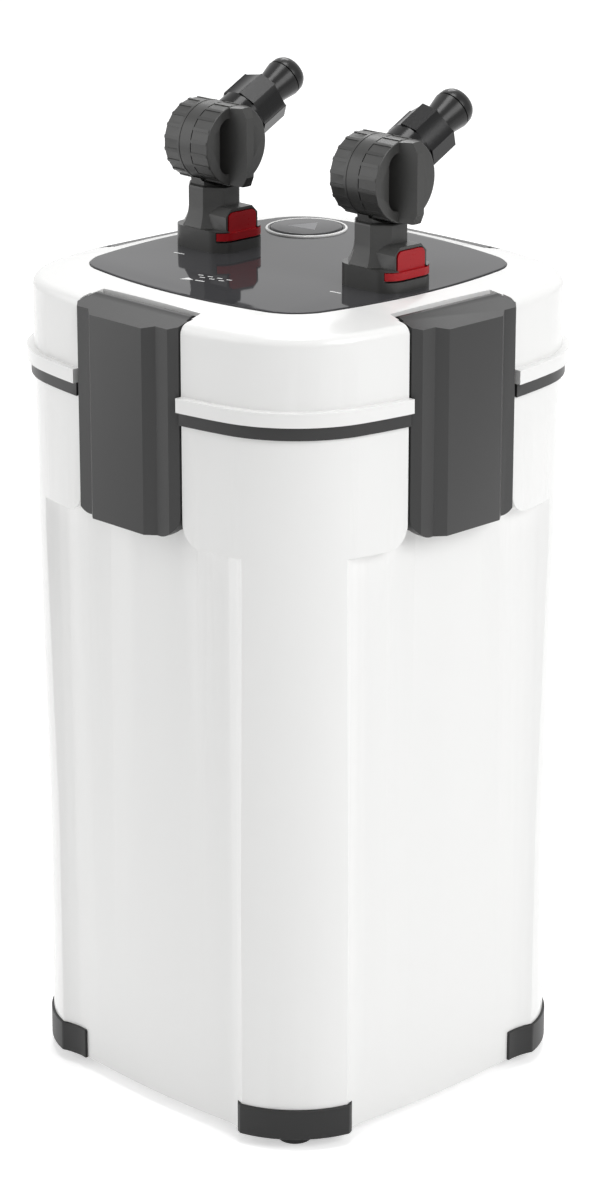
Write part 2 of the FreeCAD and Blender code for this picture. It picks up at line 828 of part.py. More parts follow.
def foot_studs():
    studs = []
    for corner, angle in CORNERS.items():
        name = "stud_" + corner
        pad = stud_cylinder(name + "_pad", angle, "stud_radius", "stud_drop", "0")
        peg = stud_cylinder(name + "_peg", angle, "stud_peg", "stud_drop + stud_peg_rise", "0")
        studs.append(fuse(name, pad, peg))
    rounded = round_edges("stud_group", fuse("stud_blanks", *studs), amount("stud_edge"),
                          lambda edge: at_level(edge, 0))
    return keep(rounded, "foot_studs")


def canister_shell(foot_forms):
    outer = fuse("shell_outer",
                 bulged_prism("shell_lower", WALL, "- taper_in", "shell_under", "taper_low"),
                 bulged_loft("shell_taper", (WALL, "- taper_in", "taper_low"), (WALL, "", "taper_high")),
                 bulged_prism("shell_upper", WALL, "", "taper_high", "rim_level"))
    recess = each_side("shell_panels", lambda part: side_recess(part, "", "shell_under - 1", "pad_under"))
    slots = each_side("shell_slots", shell_slot)
    cavity = bulged_prism("shell_cavity", MOUTH, "", "cavity_floor", "rim_level + 1")
    catches = each_side("shell_catches", lambda part: box(
        part, ("0 - catch_half", "0 - catch_out", "catch_under"),
        ("catch_half", "2 - slot_floor", "catch_under + catch_height")))
    moulded = fuse("shell_moulded", cut("shell_cut", outer, recess, slots), catches)
    return keep(cut("canister_shell", moulded, cavity, *foot_forms), "canister_shell")


def shell_slot(name):
    """The latch's slot through the shoulder, down to the panel face, flaring at its lower corners."""
    width = "latch_half + slot_gap"
    back = "0 - latch_half"
    slot = box(name + "_slot", ("0 - (%s)" % width, str(-FAR), "pad_under - 1"),
               (width, back, "rim_level + 1"))
    flare = box(name + "_flare", ("0 - (%s) - slot_round" % width, str(-FAR), "pad_under - 1"),
                ("%s + slot_round" % width, back, "pad_under + slot_round"))
    rounds = []
    for side, sign in (("left", "0 - "), ("right", "")):
        middle = ("%s(%s + slot_round)" % (sign, width), str(-FAR), "pad_under + slot_round")
        rounds.append(cylinder("%s_round_%s" % (name, side), "slot_round", str(FAR), middle, "y"))
    recess = side_recess(name + "_depth", "", "pad_under - 2", "rim_level + 2")
    return common(name, fuse(name + "_face", slot, cut(name + "_flared", flare, *rounds)), recess)


# Latches and their pins.

def latch_plan(name, skin, inner):
    """The latch seen from above: side walls, flanges and a raised middle face."""
    half, side = "latch_half%s" % skin, "latch_side%s" % skin
    flange, face = "latch_flange%s" % skin, "latch_face%s" % skin
    right = [(half, inner), (half, "0 - (%s)" % side),
             ("latch_flange_half%s" % skin, "0 - (%s)" % flange),
             ("latch_step_half%s" % skin, "0 - (%s)" % flange),
             ("latch_face_half%s" % skin, "0 - (%s)" % face)]
    left = [("0 - (%s)" % x, y) for x, y in reversed(right)]
    return polygon_pad(name, "XY_Plane", right + left, str(FAR), "latch_under - 20")


def latch(side, angle):
    name = "latch_" + side
    plate = polygon_pad(name + "_plate", "XY_Plane", [
        ("0 - knuckle_half", "0 - pivot_out"), ("0 - latch_half", "0 - latch_side"),
        ("latch_half", "0 - latch_side"), ("knuckle_half", "0 - pivot_out")],
        str(MARGIN), "pivot_level - knuckle_radius")
    knuckle_top, knuckle_low = "pivot_level + knuckle_radius", "pivot_level - knuckle_radius"
    profile = polygon_pad(name + "_profile", "YZ_Plane", [
        ("0 - pivot_out", knuckle_top), ("0 - latch_face", "latch_face_top"),
        ("0 - latch_face", "latch_under"), ("0 - latch_inner", "latch_under"),
        ("0 - latch_inner", knuckle_low), ("0 - pivot_out", knuckle_low)],
        "latch_half + latch_half", "0 - latch_half")
    outline = rounded_box(name + "_outline", ("0 - latch_half", str(-FAR), "latch_under"),
                          ("latch_half", "0 - latch_half", "pivot_level + %s" % MARGIN),
                          "latch_corner", Y_AXIS)
    plan = fuse(name + "_plan", latch_plan(name + "_shell", "", "0 - latch_inner"), plate)
    blank = common(name + "_blank", plan, profile, outline)
    hollow_profile = polygon_pad(name + "_hollow_profile", "YZ_Plane", [
        ("2 - latch_inner", knuckle_low + " + 1"), ("0 - latch_face", "latch_face_top - latch_skin - 1"),
        ("0 - latch_face", "latch_under - 5"), ("2 - latch_inner", "latch_under - 5")],
        "latch_half + latch_half", "0 - latch_half")
    hollow = common(name + "_hollow", latch_plan(name + "_inside", " - latch_skin", "2 - latch_inner"),
                    hollow_profile)
    knuckle = cylinder(name + "_knuckle", "knuckle_radius", "knuckle_half * 2",
                       ("0 - knuckle_half", "0 - pivot_out", "pivot_level"), "x")
    bore = cylinder(name + "_bore", "pin_radius + pin_clearance", "latch_half * 2",
                    ("0 - latch_half", "0 - pivot_out", "pivot_level"), "x")
    claw_top = "catch_under - claw_gap"
    inside_face = "latch_skin - claw_bite - latch_face"
    claw = box(name + "_claw", ("0 - claw_half", inside_face, claw_top + " - claw_height"),
               ("claw_half", "0 - claw_in", claw_top))
    gussets = [box("%s_gusset_%d" % (name, number),
                   ("%s - gusset_width / 2" % x, inside_face, claw_top + " - claw_height"),
                   ("%s + gusset_width / 2" % x, "0 - gusset_in", claw_top + " + gusset_rise"))
               for number, x in enumerate(("0 - gusset_place", "gusset_place"))]
    catch_way = box(name + "_catch_way", ("0 - catch_half - 1", "0 - gusset_in - 0.1", claw_top),
                    ("catch_half + 1", "0 - claw_in + 5", "catch_under + catch_height + 3"))
    ribs = cut(name + "_ribs", fuse(name + "_rib_set", claw, *gussets), catch_way)
    shell = cut(name + "_open", fuse(name + "_solid", blank, knuckle), hollow)
    finished = cut(name, fuse(name + "_whole", shell, ribs), bore)
    return keep(place(finished, ("0", "0", "0"), Z_AXIS, str(angle)), name)


def pin_cylinder(name, radius):
    reach = "(latch_half + slot_gap + pin_seat)"
    return cylinder(name, radius, reach + " * 2", ("0 - " + reach, "0 - pivot_out", "pivot_level"), "x")


def latch_pins():
    return keep(each_side("latch_pin_group", lambda part: pin_cylinder(part, "pin_radius")), "latch_pins")


# Head cover, panel, base plate and seal.

def head_notches(name):
    """Slots that take the latches, cut in to the slot floor and, near the top, in to the knuckles."""
    width = "latch_half + slot_gap"
    narrow = "knuckle_half + slot_gap"
    deep = "pivot_out - knuckle_radius - pocket_gap"
    low = "pivot_level - knuckle_radius - pocket_gap"
    return each_side(name, lambda part: fuse(
        part,
        box(part + "_slot", ("0 - (%s)" % width, str(-FAR), "rim_level - 1"),
            (width, "0 - slot_floor", "panel_level + 5")),
        polygon_pad(part + "_pocket", "XY_Plane", [
            ("0 - (%s)" % narrow, "0 - (%s)" % deep), ("0 - (%s)" % width, "0 - latch_side"),
            (width, "0 - latch_side"), (narrow, "0 - (%s)" % deep)], str(MARGIN), low)))


def cover_cavity():
    """The inside of the cover, kept clear of the latch slots, the knuckle pockets and their pins."""
    inside = bulged_prism("cover_inside", WALL, "- cover_wall", "flange_level - 1", "cover_ceiling")
    reach = "latch_half + slot_gap + pin_seat + cover_wall"
    low = "pivot_level - knuckle_radius - pocket_gap - cover_wall"
    guards = each_side("cover_guards", lambda part: fuse(
        part,
        box(part + "_low", ("0 - (%s)" % reach, str(-FAR), "flange_level - 2"),
            (reach, "cover_wall - slot_floor", "panel_level")),
        box(part + "_high", ("0 - (%s)" % reach, str(-FAR), low),
            (reach, "0 - (pivot_out - knuckle_radius - pocket_gap - cover_wall)", "panel_level"))))
    return cut("cover_cavity", inside, guards)


def tap_places():
    return (("inlet", "0 - tap_spacing"), ("outlet", "tap_spacing"))


def port_holes(name, radius, bottom, top):
    return fuse(name, *[cylinder("%s_%s" % (name, port), radius, "(%s) - (%s)" % (top, bottom),
                                 (x, "0 - tap_forward", bottom)) for port, x in tap_places()])


def primer_cylinder(name, radius, bottom, top):
    return cylinder(name, radius, "(%s) - (%s)" % (top, bottom), ("0 - primer_left", "primer_back", bottom))


def square_places(reach):
    """The four corners of a square about the middle."""
    back = "0 - " + reach
    return ((reach, back), (reach, reach), (back, reach), (back, back))


def screw_cylinders(name, radius, bottom, top):
    rods = []
    for number, (x, y) in enumerate(square_places("screw_place")):
        rods.append(cylinder("%s_%d" % (name, number), radius, "(%s) - (%s)" % (top, bottom), (x, y, bottom)))
    return fuse(name, *rods)


def head_cover():
    body = fuse("cover_body",
                bulged_prism("cover_lip", WALL, "+ lip_out", "flange_level", "lip_level"),
                bulged_prism("cover_walls", WALL, "", "lip_level - 1", "wall_level"),
                bulged_loft("cover_top", (WALL, "", "wall_level"),
                            (PANEL, "+ panel_gap + panel_gap", "ring_level")))
    level = amount("wall_level")
    rounded = round_edges("cover_rounded", body, amount("cover_edge"), lambda part: at_level(part, level))
    recess = bulged_prism("cover_recess", PANEL, "+ panel_gap", "panel_under", "panel_level + 1")
    screw_top = "rim_level + screw_length"
    bosses = screw_cylinders("cover_bosses", "screw_boss", "flange_level", "cover_ceiling + 1")
    gland_boss = cylinder("cover_gland_boss", "gland_boss_radius", "gland_boss - gland_in",
                          ("gland_place", "gland_in", "gland_level"), "y")
    hollow = cut("cover_hollow", rounded, cover_cavity())
    stopped = fuse("cover_stopped", hollow, bosses, gland_boss)
    holes = (head_notches("cover_notches"), recess,
             each_side("cover_pin_holes", lambda part: pin_cylinder(part, "pin_radius")),
             port_holes("cover_port_holes", "port_bore + port_wall + port_clearance", "cover_ceiling - 1",
                        "panel_level"),
             primer_cylinder("cover_primer_hole", "primer_hole", "cover_ceiling - 1", "panel_level"),
             screw_cylinders("cover_screw_holes", "screw_shank", "flange_level - 1", screw_top),
             cylinder("cover_gland_hole", "gland_radius", "gland_boss - gland_in + 4",
                      ("gland_place", "gland_in - 2", "gland_level"), "y"))
    return keep(cut("head_cover", stopped, *holes), "head_cover")


def top_panel():
    plate = bulged_prism("panel_plate", PANEL, "", "panel_under", "panel_level")
    top = amount("panel_level")
    eased = round_edges("panel_eased", plate, amount("panel_edge"), lambda part: at_level(part, top))
    ports = port_holes("panel_port_holes", "port_bore + port_wall + port_clearance", "panel_under - 1",
                       "panel_level + 1")
    primer = primer_cylinder("panel_primer_hole", "primer_hole", "panel_under - 1", "panel_level + 1")
    return keep(cut("top_panel", eased, ports, primer), "top_panel")


def pump_cylinder(name, radius, bottom, top):
    return cylinder(name, radius, "(%s) - (%s)" % (top, bottom), ("0", "0 - pump_back", bottom))


def duct(name, radius, start, end):
    """A level pipe from the pump's middle towards the outlet port, between two distances."""
    run_x = amount("tap_spacing")
    run_y = amount("pump_back - tap_forward")
    turn = math.degrees(math.atan2(run_y, run_x))
    pipe = cylinder(name, radius, "(%s) - (%s)" % (end, start), along="x")
    pipe.setExpression("Placement.Rotation.Angle", None)
    pipe.Placement = Placement(Vector(), Rotation(Z_AXIS, turn) * Rotation(Y_AXIS, 90))
    bind(pipe, "Placement.Base.x", "(%s) * cos(%.9f)" % (start, turn))
    bind(pipe, "Placement.Base.y", "(%s) * sin(%.9f) - pump_back" % (start, turn))
    bind(pipe, "Placement.Base.z", "duct_level")
    return pipe


DUCT_REACH = "sqrt(tap_spacing ^ 2 + (pump_back - tap_forward) ^ 2)"


def head_base():
    """Base plate: closes the head and carries the seal spigot, the ports and the primer's seat."""
    plate = bulged_prism("base_plate", WALL, "+ band_out", "rim_level", "flange_level")
    inner = "- spigot_gap - spigot_wall"
    spigot = cut("base_spigot",
                 bulged_prism("spigot_outside", MOUTH, "- spigot_gap", "spigot_under", "rim_level + 1"),
                 bulged_prism("spigot_inside", MOUTH, inner, "spigot_under - 1", "rim_level"))
    groove = cut("base_groove",
                 bulged_prism("groove_outside", MOUTH, "", "groove_under", "groove_under + groove_height"),
                 bulged_prism("groove_inside", MOUTH, "- spigot_gap - groove_deep", "groove_under - 1",
                              "groove_under + groove_height + 1"))
    ports = port_holes("base_ports", "port_bore + port_wall", "port_under", "port_top")
    seat = primer_cylinder("primer_seat", "primer_hole + primer_wall", "flange_level - 1", "primer_floor")
    solid = fuse("base_solid", plate, cut("base_spigot_ring", spigot, groove), ports, seat)
    holes = (pump_cylinder("base_pump_hole", "volute_radius + volute_wall + pump_fit", "rim_level - 1",
                           "flange_level + 1"),
             duct("base_duct_seat", "duct_radius + duct_wall + pump_fit", "volute_radius", DUCT_REACH),
             cylinder("inlet_bore", "port_bore", "port_top - port_under + 2",
                      ("0 - tap_spacing", "0 - tap_forward", "port_under - 1")),
             cylinder("outlet_bore", "port_bore", "port_top - port_under - port_floor + 1",
                      ("tap_spacing", "0 - tap_forward", "port_under + port_floor")),
             screw_cylinders("base_screw_holes", "screw_shank + screw_play", "rim_level - 1",
                             "flange_level + 1"),
             primer_cylinder("primer_drain", "valve_hole", "rim_level - 1", "primer_floor + 1"),
             head_notches("base_notches"))
    return keep(cut("head_base", solid, *holes), "head_base")


def pump_housing():
    """Volute below the base plate, rotor well above it, and the duct to the outlet port."""
    top = "flange_level + pump_flange_thick"
    volute = pump_cylinder("volute_outside", "volute_radius + volute_wall", "volute_under", top)
    flange = pump_cylinder("volute_flange", "volute_radius + volute_wall + pump_flange", "flange_level", top)
    well = pump_cylinder("well_outside", "well_radius + well_wall", "rim_level", "well_top")
    pipe = duct("duct_outside", "duct_radius + duct_wall", "volute_radius + 1",
                DUCT_REACH + " - port_bore - 1")
    ceiling = "well_top - well_cap"
    boss_low = ceiling + " - bush_height"
    boss = cut("well_boss", pump_cylinder("well_boss_outside", "bush_boss", boss_low, "well_top"),
               pump_cylinder("well_boss_inside", "bush_radius", boss_low + " - 1", ceiling))
    room = cut("well_room", pump_cylinder("well_inside", "well_radius", "rim_level - 1", ceiling), boss)
    holes = (room, pump_cylinder("volute_inside", "volute_radius", "volute_under - 1", "rim_level"),
             duct("duct_inside", "duct_radius", "volute_radius - 3", DUCT_REACH))
    solid = fuse("housing_solid", volute, flange, well, pipe)
    return keep(cut("pump_housing", solid, *holes), "pump_housing")


def head_seal():
    level = "groove_under + seal_play"
    top = "groove_under + groove_height - seal_play"
    ring = cut("seal_ring", bulged_prism("seal_outside", MOUTH, "- seal_gap", level, top),
               bulged_prism("seal_inside", MOUTH, "- spigot_gap - groove_deep", level + " - 1", top + " + 1"))
    return keep(ring, "head_seal")


def head_screws():
    shanks = screw_cylinders("screw_shanks", "screw_shank", "rim_level - 1", "rim_level + screw_length")
    heads = screw_cylinders("screw_heads", "screw_head", "rim_level - screw_head_height", "rim_level")
    return keep(fuse("screw_set", shanks, heads), "head_screws")


def cable_gland():
    sleeve = cylinder("gland_sleeve", "gland_radius", "gland_boss - gland_in",
                      ("gland_place", "gland_in", "gland_level"), "y")
    flange = cylinder("gland_ring", "gland_flange", "gland_flange_thick",
                      ("gland_place", "gland_boss", "gland_level"), "y")
    nose = cone("gland_cone", "gland_flange - 1", "gland_nose", "gland_nose_length",
                ("gland_place", "gland_boss + gland_flange_thick", "gland_level"), "y")
    bore = cylinder("gland_way", "gland_bore", "gland_end - gland_in + 2",
                    ("gland_place", "gland_in - 1", "gland_level"), "y")
    return keep(cut("gland", fuse("gland_solid", sleeve, flange, nose), bore), "cable_gland")


# Pump.

def pump_parts():
    shaft_low = "cap_under + shaft_lift"
    shaft_top = "well_top - well_cap"
    keep(pump_cylinder("shaft_rod", "shaft_radius", shaft_low, shaft_top), "rotor_shaft")
    bush_low = "cap_under + bush_floor"
    bush_top = bush_low + " + bush_height"
    lower = cut("bush_lower", pump_cylinder("bush_lower_out", "bush_radius", bush_low, bush_top),
                pump_cylinder("bush_lower_in", "shaft_radius", shaft_low, bush_top + " + 1"))
    upper = cut("bush_upper",
                pump_cylinder("bush_upper_out", "bush_radius", shaft_top + " - bush_height", shaft_top),
                pump_cylinder("bush_upper_in", "shaft_radius", shaft_top + " - bush_height - 1", shaft_top))
    keep(fuse("bush_pair", lower, upper), "shaft_bushes")
    magnet_top = "magnet_under + magnet_height"
    spin_bore = "shaft_radius + shaft_clearance"
    keep(cut("magnet", pump_cylinder("magnet_out", "magnet_radius", "magnet_under", magnet_top),
             pump_cylinder("magnet_in", spin_bore, "magnet_under - 1", magnet_top + " + 1")), "rotor_magnet")
    hub = pump_cylinder("hub", "impeller_hub", "impeller_under", "magnet_under")
    shroud = pump_cylinder("shroud", "impeller_radius", "impeller_top - shroud_thick", "impeller_top")
    blades = []
    for number in range(BLADES):
        blade = box("blade_%d" % number, ("impeller_hub - 1", "0 - blade_thick / 2", "impeller_under"),
                    ("impeller_radius", "blade_thick / 2", "impeller_top"))
        holder = held("blade_turned_%d" % number, blade)
        blades.append(place(holder, ("0", "0 - pump_back", "0"), Z_AXIS, str(number * 360 / BLADES)))
    wheel = fuse("wheel", hub, shroud, *blades)
    keep(cut("impeller_wheel", wheel, pump_cylinder("hub_bore", spin_bore, "impeller_under - 1",
                                                    "magnet_under + 1")), "impeller")
    cap = pump_cylinder("cap_disc", "volute_radius + volute_wall", "cap_under", "volute_under")
    eye = pump_cylinder("cap_eye", "inlet_eye", "cap_under - 1", "volute_under + 1")
    boss = pump_cylinder("cap_boss", "eye_boss", "cap_under", "volute_under + 1")
    arms = []
    for number in range(3):
        arm = box("cap_arm_%d" % number, ("0", "0 - eye_arm / 2", "cap_under"),
                  ("inlet_eye + 1", "eye_arm / 2", "volute_under"))
        holder = held("cap_arm_turned_%d" % number, arm)
        arms.append(place(holder, ("0", "0 - pump_back", "0"), Z_AXIS, str(number * 120 + 30)))
    ringed = fuse("cap_ringed", cut("cap_open", cap, eye), boss, *arms)
    seat = pump_cylinder("cap_bush_seat", "bush_radius", bush_low, "volute_under + 3")
    keep(cut("cap_bored", ringed, seat), "impeller_cover")


def stator():
    core_top = "core_under + core_height"
    block = box("core_block", ("0 - core_half", "0 - core_back", "core_under"),
                ("core_half", "core_front", core_top))
    window = box("core_window", ("0 - coil_half", "0 - pump_back", "core_under - 1"),
                 ("coil_half", "core_front - coil_depth", core_top + " + 1"))
    bore = pump_cylinder("core_bore", "well_radius + well_wall + core_air", "core_under - 1",
                         core_top + " + 1")
    keep(cut("core", block, window, bore), "motor_core")
    winding = rounded_box("coil_block", ("0 - coil_half", "core_front - coil_depth - coil_bulge",
                                         "core_under - coil_thick"),
                          ("coil_half", "core_front + coil_bulge", core_top + " + coil_thick"),
                          "coil_thick / 2", X_AXIS)
    bridge = box("coil_bridge", ("0 - core_half", "core_front - coil_depth", "core_under"),
                 ("core_half", "core_front", core_top))
    keep(cut("coil", winding, bridge), "motor_coil")


# Inside the canister.

def down_cylinder(name, radius, bottom, top):
    return cylinder(name, radius, "(%s) - (%s)" % (top, bottom),
                    ("0 - tap_spacing", "0 - tap_forward", bottom))


def down_tube():
    outer = "down_bore + down_wall"
    pipe = cut("down_pipe", down_cylinder("down_outside", outer, "down_under", "port_under + down_insert"),
               down_cylinder("down_inside", "down_bore", "down_under - 1", "port_under + down_insert + 1"))
    low = "port_under - down_collar_height"
    collar = cut("down_collar", down_cylinder("down_collar_out", outer + " + down_collar", low, "port_under"),
                 down_cylinder("down_collar_in", "down_bore", low + " - 1", "port_under + 1"))
    return keep(fuse("down_set", pipe, collar), "down_tube")


def basket(number, label):
    """A tray with a slotted floor and a chimney for the down tube; the lowest one stands on legs."""
    name = "basket_%d" % number
    low = "basket_under + basket_pitch * %d" % number
    high = low + " + basket_height"
    shell = cut(name + "_tray", bulged_prism(name + "_out", MOUTH, "- basket_gap", low, high),
                bulged_prism(name + "_in", MOUTH, "- basket_gap - basket_skin", low + " + basket_skin",
                             high + " + 1"))
    chimney_bore = "down_bore + down_wall + chimney_gap"
    chimney = down_cylinder(name + "_chimney", chimney_bore + " + chimney_wall", low, high)
    solids = [shell, chimney]
    if number == 0:
        legs = [box("%s_leg_%d" % (name, leg),
                    ("%s - basket_leg / 2" % x, "%s - basket_leg / 2" % y, "cavity_floor"),
                    ("%s + basket_leg / 2" % x, "%s + basket_leg / 2" % y, low + " + 1"))
                for leg, (x, y) in enumerate(square_places("leg_place"))]
        solids += legs
    slots = []
    for row in range(-5, 6):
        if row in (-4, 4) and number == 0:
            continue
        middle = "slat_pitch * %d" % row
        slots.append(box("%s_slot_%d" % (name, row + 5),
                         ("0 - slat_start", middle + " - slat_width / 2", low + " - 1"),
                         ("side_half - slat_in", middle + " + slat_width / 2", low + " + basket_skin")))
    way = down_cylinder(name + "_way", chimney_bore, low + " - 1", high + " + 1")
    return keep(cut(name + "_done", fuse(name + "_solid", *solids), way, *slots), label)


def media(number, label, height):
    name = "media_%d" % number
    low = "basket_under + basket_pitch * %d + basket_skin" % number
    bed = bulged_prism(name + "_bed", MOUTH, "- basket_gap - basket_skin - media_gap", low,
                       "%s + %s" % (low, height))
    hole = down_cylinder(name + "_hole", "down_bore + down_wall + chimney_gap + chimney_wall + media_gap",
                         low + " - 1", low + " + basket_height")
    return keep(cut(name + "_done", bed, hole), label)


# Primer pump.

def primer():
    bore = "primer_radius + primer_clearance"
    wall = bore + " + primer_wall"
    sleeve = cut("sleeve", primer_cylinder("sleeve_out", wall, "primer_floor", "panel_under"),
                 primer_cylinder("sleeve_in", bore, "primer_floor + primer_floor_thick", "panel_under + 1"),
                 primer_cylinder("sleeve_hole", "valve_hole", "primer_floor - 1", "primer_floor + 9"))
    keep(sleeve, "primer_cylinder")
    bezel_top = "panel_level + bezel_rise"
    collar = primer_cylinder("bezel_collar", wall, "panel_under", "panel_level")
    ring = primer_cylinder("bezel_ring", "bezel_radius", "panel_level", bezel_top)
    bezel = round_edges("bezel_rounded", fuse("bezel_solid", collar, ring), amount("bezel_edge"),
                        lambda edge: at_level(edge, amount(bezel_top)))
    keep(cut("bezel_open", bezel, primer_cylinder("bezel_bore", bore, "panel_under - 1", bezel_top + " + 1")),
         "primer_bezel")
    cap = primer_cylinder("button_cap", "primer_radius", "button_top - button_deep", "button_top")
    eased = round_edges("button_eased", cap, amount("button_edge"),
                        lambda edge: at_level(edge, amount("button_top")))
    under = primer_cylinder("button_under", "primer_radius - button_skin", "button_top - button_deep - 1",
                            "button_top - button_skin")
    keep(cut("button_open", eased, under), "primer_button")
    rod = primer_cylinder("piston_stem", "piston_rod", "piston_under", "button_top - button_skin")
    disc = primer_cylinder("piston_disc", "piston_radius", "piston_under", "piston_under + piston_thick")
    cup_low = "piston_under + (piston_thick - cup_height) / 2"
    cup_top = cup_low + " + cup_height"
    cup_groove = cut("cup_groove", primer_cylinder("cup_groove_out", "primer_radius + 1", cup_low, cup_top),
                     primer_cylinder("cup_groove_in", "cup_inner", cup_low + " - 1", cup_top + " + 1"))
    keep(cut("piston", fuse("piston_solid", rod, disc), cup_groove), "primer_piston")
    keep(cut("cup", primer_cylinder("cup_out", bore + " - cup_play", cup_low, cup_top),
             primer_cylinder("cup_in", "cup_inner", cup_low + " - 1", cup_top + " + 1")), "piston_seal")
    keep(primer_spring(), "primer_spring")


def primer_spring():
    body = doc.addObject("PartDesign::Body", "spring")
    sketch = new_sketch(body, "XZ_Plane")
    sketch.addGeometry(Part.Circle(Vector(SIZES["spring_radius"], 0, 0), Z_AXIS, SIZES["spring_wire"] / 2))
    sketch.addConstraint(Sketcher.Constraint("PointOnObject", 0, 3, -1))
    fix(sketch, "DistanceX", -1, 1, 0, 3, "spring_radius")
    index = sketch.addConstraint(Sketcher.Constraint("Diameter", 0, SIZES["spring_wire"]))
    bind(sketch, "Constraints[%d]" % index, "spring_wire")
    helix = body.newObject("PartDesign::AdditiveHelix", "spring_coil")
    helix.Profile = sketch
    helix.ReferenceAxis = (sketch, ["V_Axis"])
    helix.Mode = "pitch-height-angle"
    bind(helix, "Pitch", "spring_pitch")
    bind(helix, "Height", "piston_under - primer_floor - primer_floor_thick - spring_wire - spring_play * 2")
    return place(body, ("0 - primer_left", "primer_back",
                        "primer_floor + primer_floor_thick + spring_wire / 2 + spring_play"))


# Taps. Every tap piece is built about the tap's own upright axis and then moved to its place.

def at_tap(thing, x):
    return place(thing, (x, "0 - tap_forward", "0"))


def lean_out(thing):
    """Lay something built along +z onto the hose axis, which starts in the middle of the drum."""
    return place(thing, ("0", "0", "drum_level"), X_AXIS, "hose_lean - 90")


def up_hose(name, radius, start, end, x="0"):
    """A cylinder on the hose axis, or beside it in x, between two distances from the drum's middle."""
    rod = cylinder(name, radius, "(%s) - (%s)" % (end, start))
    return place(rod, (x, "cos(hose_lean) * (%s)" % start, "drum_level + sin(hose_lean) * (%s)" % start),
                 X_AXIS, "hose_lean - 90")


def at_hose(thing, x):
    """Lay a finished piece built along +z onto the hose axis of the tap at x."""
    return place(thing, (x, "0 - tap_forward", "drum_level"), X_AXIS, "hose_lean - 90")


def block_form(name, shrink, bottom, top):
    low = ("0 - (block_left - %s)" % shrink, "0 - (block_half - %s)" % shrink, bottom)
    high = ("block_right - %s" % shrink, "block_half - %s" % shrink, top)
    return rounded_box(name, low, high, "block_corner - %s" % shrink, Z_AXIS)


def octagon(name, flats, level):
    """An eight-sided outline with a flat facing +x, given by half its width across flats."""
    thing = doc.addObject("Part::RegularPolygon", name)
    thing.Polygon = 8
    bind(thing, "Circumradius", "(%s) / cos(22.5)" % flats)
    return place(thing, ("0", "0", level), Z_AXIS, "22.5")


def neck_form(name):
    """The neck: eight-sided, flaring out towards the block in a curve that steepens as it rises."""
    outlines = []
    for number, share in enumerate((0.0, 0.16, 0.36, 0.62, 1.0)):
        flats = "neck_half + flare_out * %.4f" % (1 - share) ** 2
        level = "block_level + flare_height * %s" % share
        outlines.append(octagon("%s_flare_%d" % (name, number), flats, level))
    flare = doc.addObject("Part::Loft", name + "_flare")
    flare.Sections = outlines
    flare.Solid = True
    flare.Ruled = True
    straight = prism(name + "_straight", 8, "neck_half", "neck_height", ("0", "0", "panel_level"))
    top = amount("neck_level")
    eased = round_edges(name + "_eased", straight, amount("neck_chamfer"), lambda edge: at_level(edge, top))
    return fuse(name, eased, flare)


def tap_base(port, x):
    name = port + "_base"
    block = block_form(name + "_block", "0", "panel_level", "block_level")
    hood = polygon_pad(name + "_hood", "YZ_Plane", [
        ("0 - hood_half", "block_level - 1"), ("hood_half", "block_level - 1"),
        ("hood_half", "hood_level - hood_corner"), ("hood_half - hood_corner", "hood_level"),
        ("hood_corner - hood_half", "hood_level"), ("0 - hood_half", "hood_level - hood_corner")],
        "hood_out", "0")
    plug = cylinder(name + "_plug", "plug_in_radius", "panel_level - plug_in_under + 1",
                    ("0", "0", "plug_in_under"))
    groove = tube(name + "_groove", "plug_in_radius + 1", "port_ring_inner", "port_ring_height",
                  ("0", "0", "port_ring_under"))
    bore = cylinder(name + "_bore", "neck_bore", "neck_level", ("0", "0", "stub_under - 1"))
    way = cylinder(name + "_way", "tap_bore", "neck_level", ("0", "0", "plug_in_under - 1"))
    solid = fuse(name + "_solid", block, neck_form(name + "_neck"), hood, plug)
    finished = cut(name, solid, groove, bore, way, rocker_room(name + "_room"))
    return keep(at_tap(finished, x), port + "_tap_base")


def strip_form(name, clear, under, top):
    """The release's low strip: a band of the block's own outline, round its right side."""
    band = cut(name + "_band", block_form(name + "_band_out", "0", under, top),
               block_form(name + "_band_in", "(strip_thick + %s)" % clear, under + " - 1", top + " + 1"))
    side = box(name + "_side", ("strip_in - %s" % clear, str(-FAR), under + " - 2"),
               (str(FAR), str(FAR), top + " + 2"))
    return common(name, band, side)


def rocker_room(name):
    """The slot that holds the release, with a gap below the strip and swing room behind the tab."""
    low = "strip_under - strip_gap"
    strip = strip_form(name + "_strip", "rocker_gap", low, "strip_top + rocker_gap")
    tab = rounded_box(name + "_tab", ("tab_in - rocker_room", "0 - (tab_half + rocker_gap)", low),
                      (str(FAR), "tab_half + rocker_gap", "tab_level + rocker_gap"), "tab_corner", X_AXIS)
    return fuse(name, strip, tab)


def tap_release(port, x):
    name = port + "_rocker"
    strip = strip_form(name + "_strip", "0", "strip_under", "strip_top")
    tab = rounded_box(name + "_tab", ("tab_in", "0 - tab_half", "strip_under"),
                      ("tab_out", "tab_half", "tab_level"), "tab_corner", X_AXIS)
    return keep(at_tap(fuse(name, strip, tab), x), port + "_release")


def ribbed(name, drum, radius, start, run):
    """Cut wide flat grooves along x round a drum, which leaves low narrow ribs between them."""
    grooves = []
    for number in range(int(amount("rib_count"))):
        groove = box("%s_groove_%d" % (name, number),
                     (start, "0 - rib_groove / 2", "(%s) - rib_deep" % radius),
                     ("(%s) + (%s)" % (start, run), "rib_groove / 2", "(%s) + 2" % radius))
        holder = held("%s_turned_%d" % (name, number), groove)
        grooves.append(place(holder, ("0", "0", "drum_level"), X_AXIS, "%d * 360 / rib_count" % number))
    return cut(name, drum, *grooves)


def drum(name, radius, start, end):
    return cylinder(name, radius, "(%s) - (%s)" % (end, start), (start, "0", "drum_level"), "x")


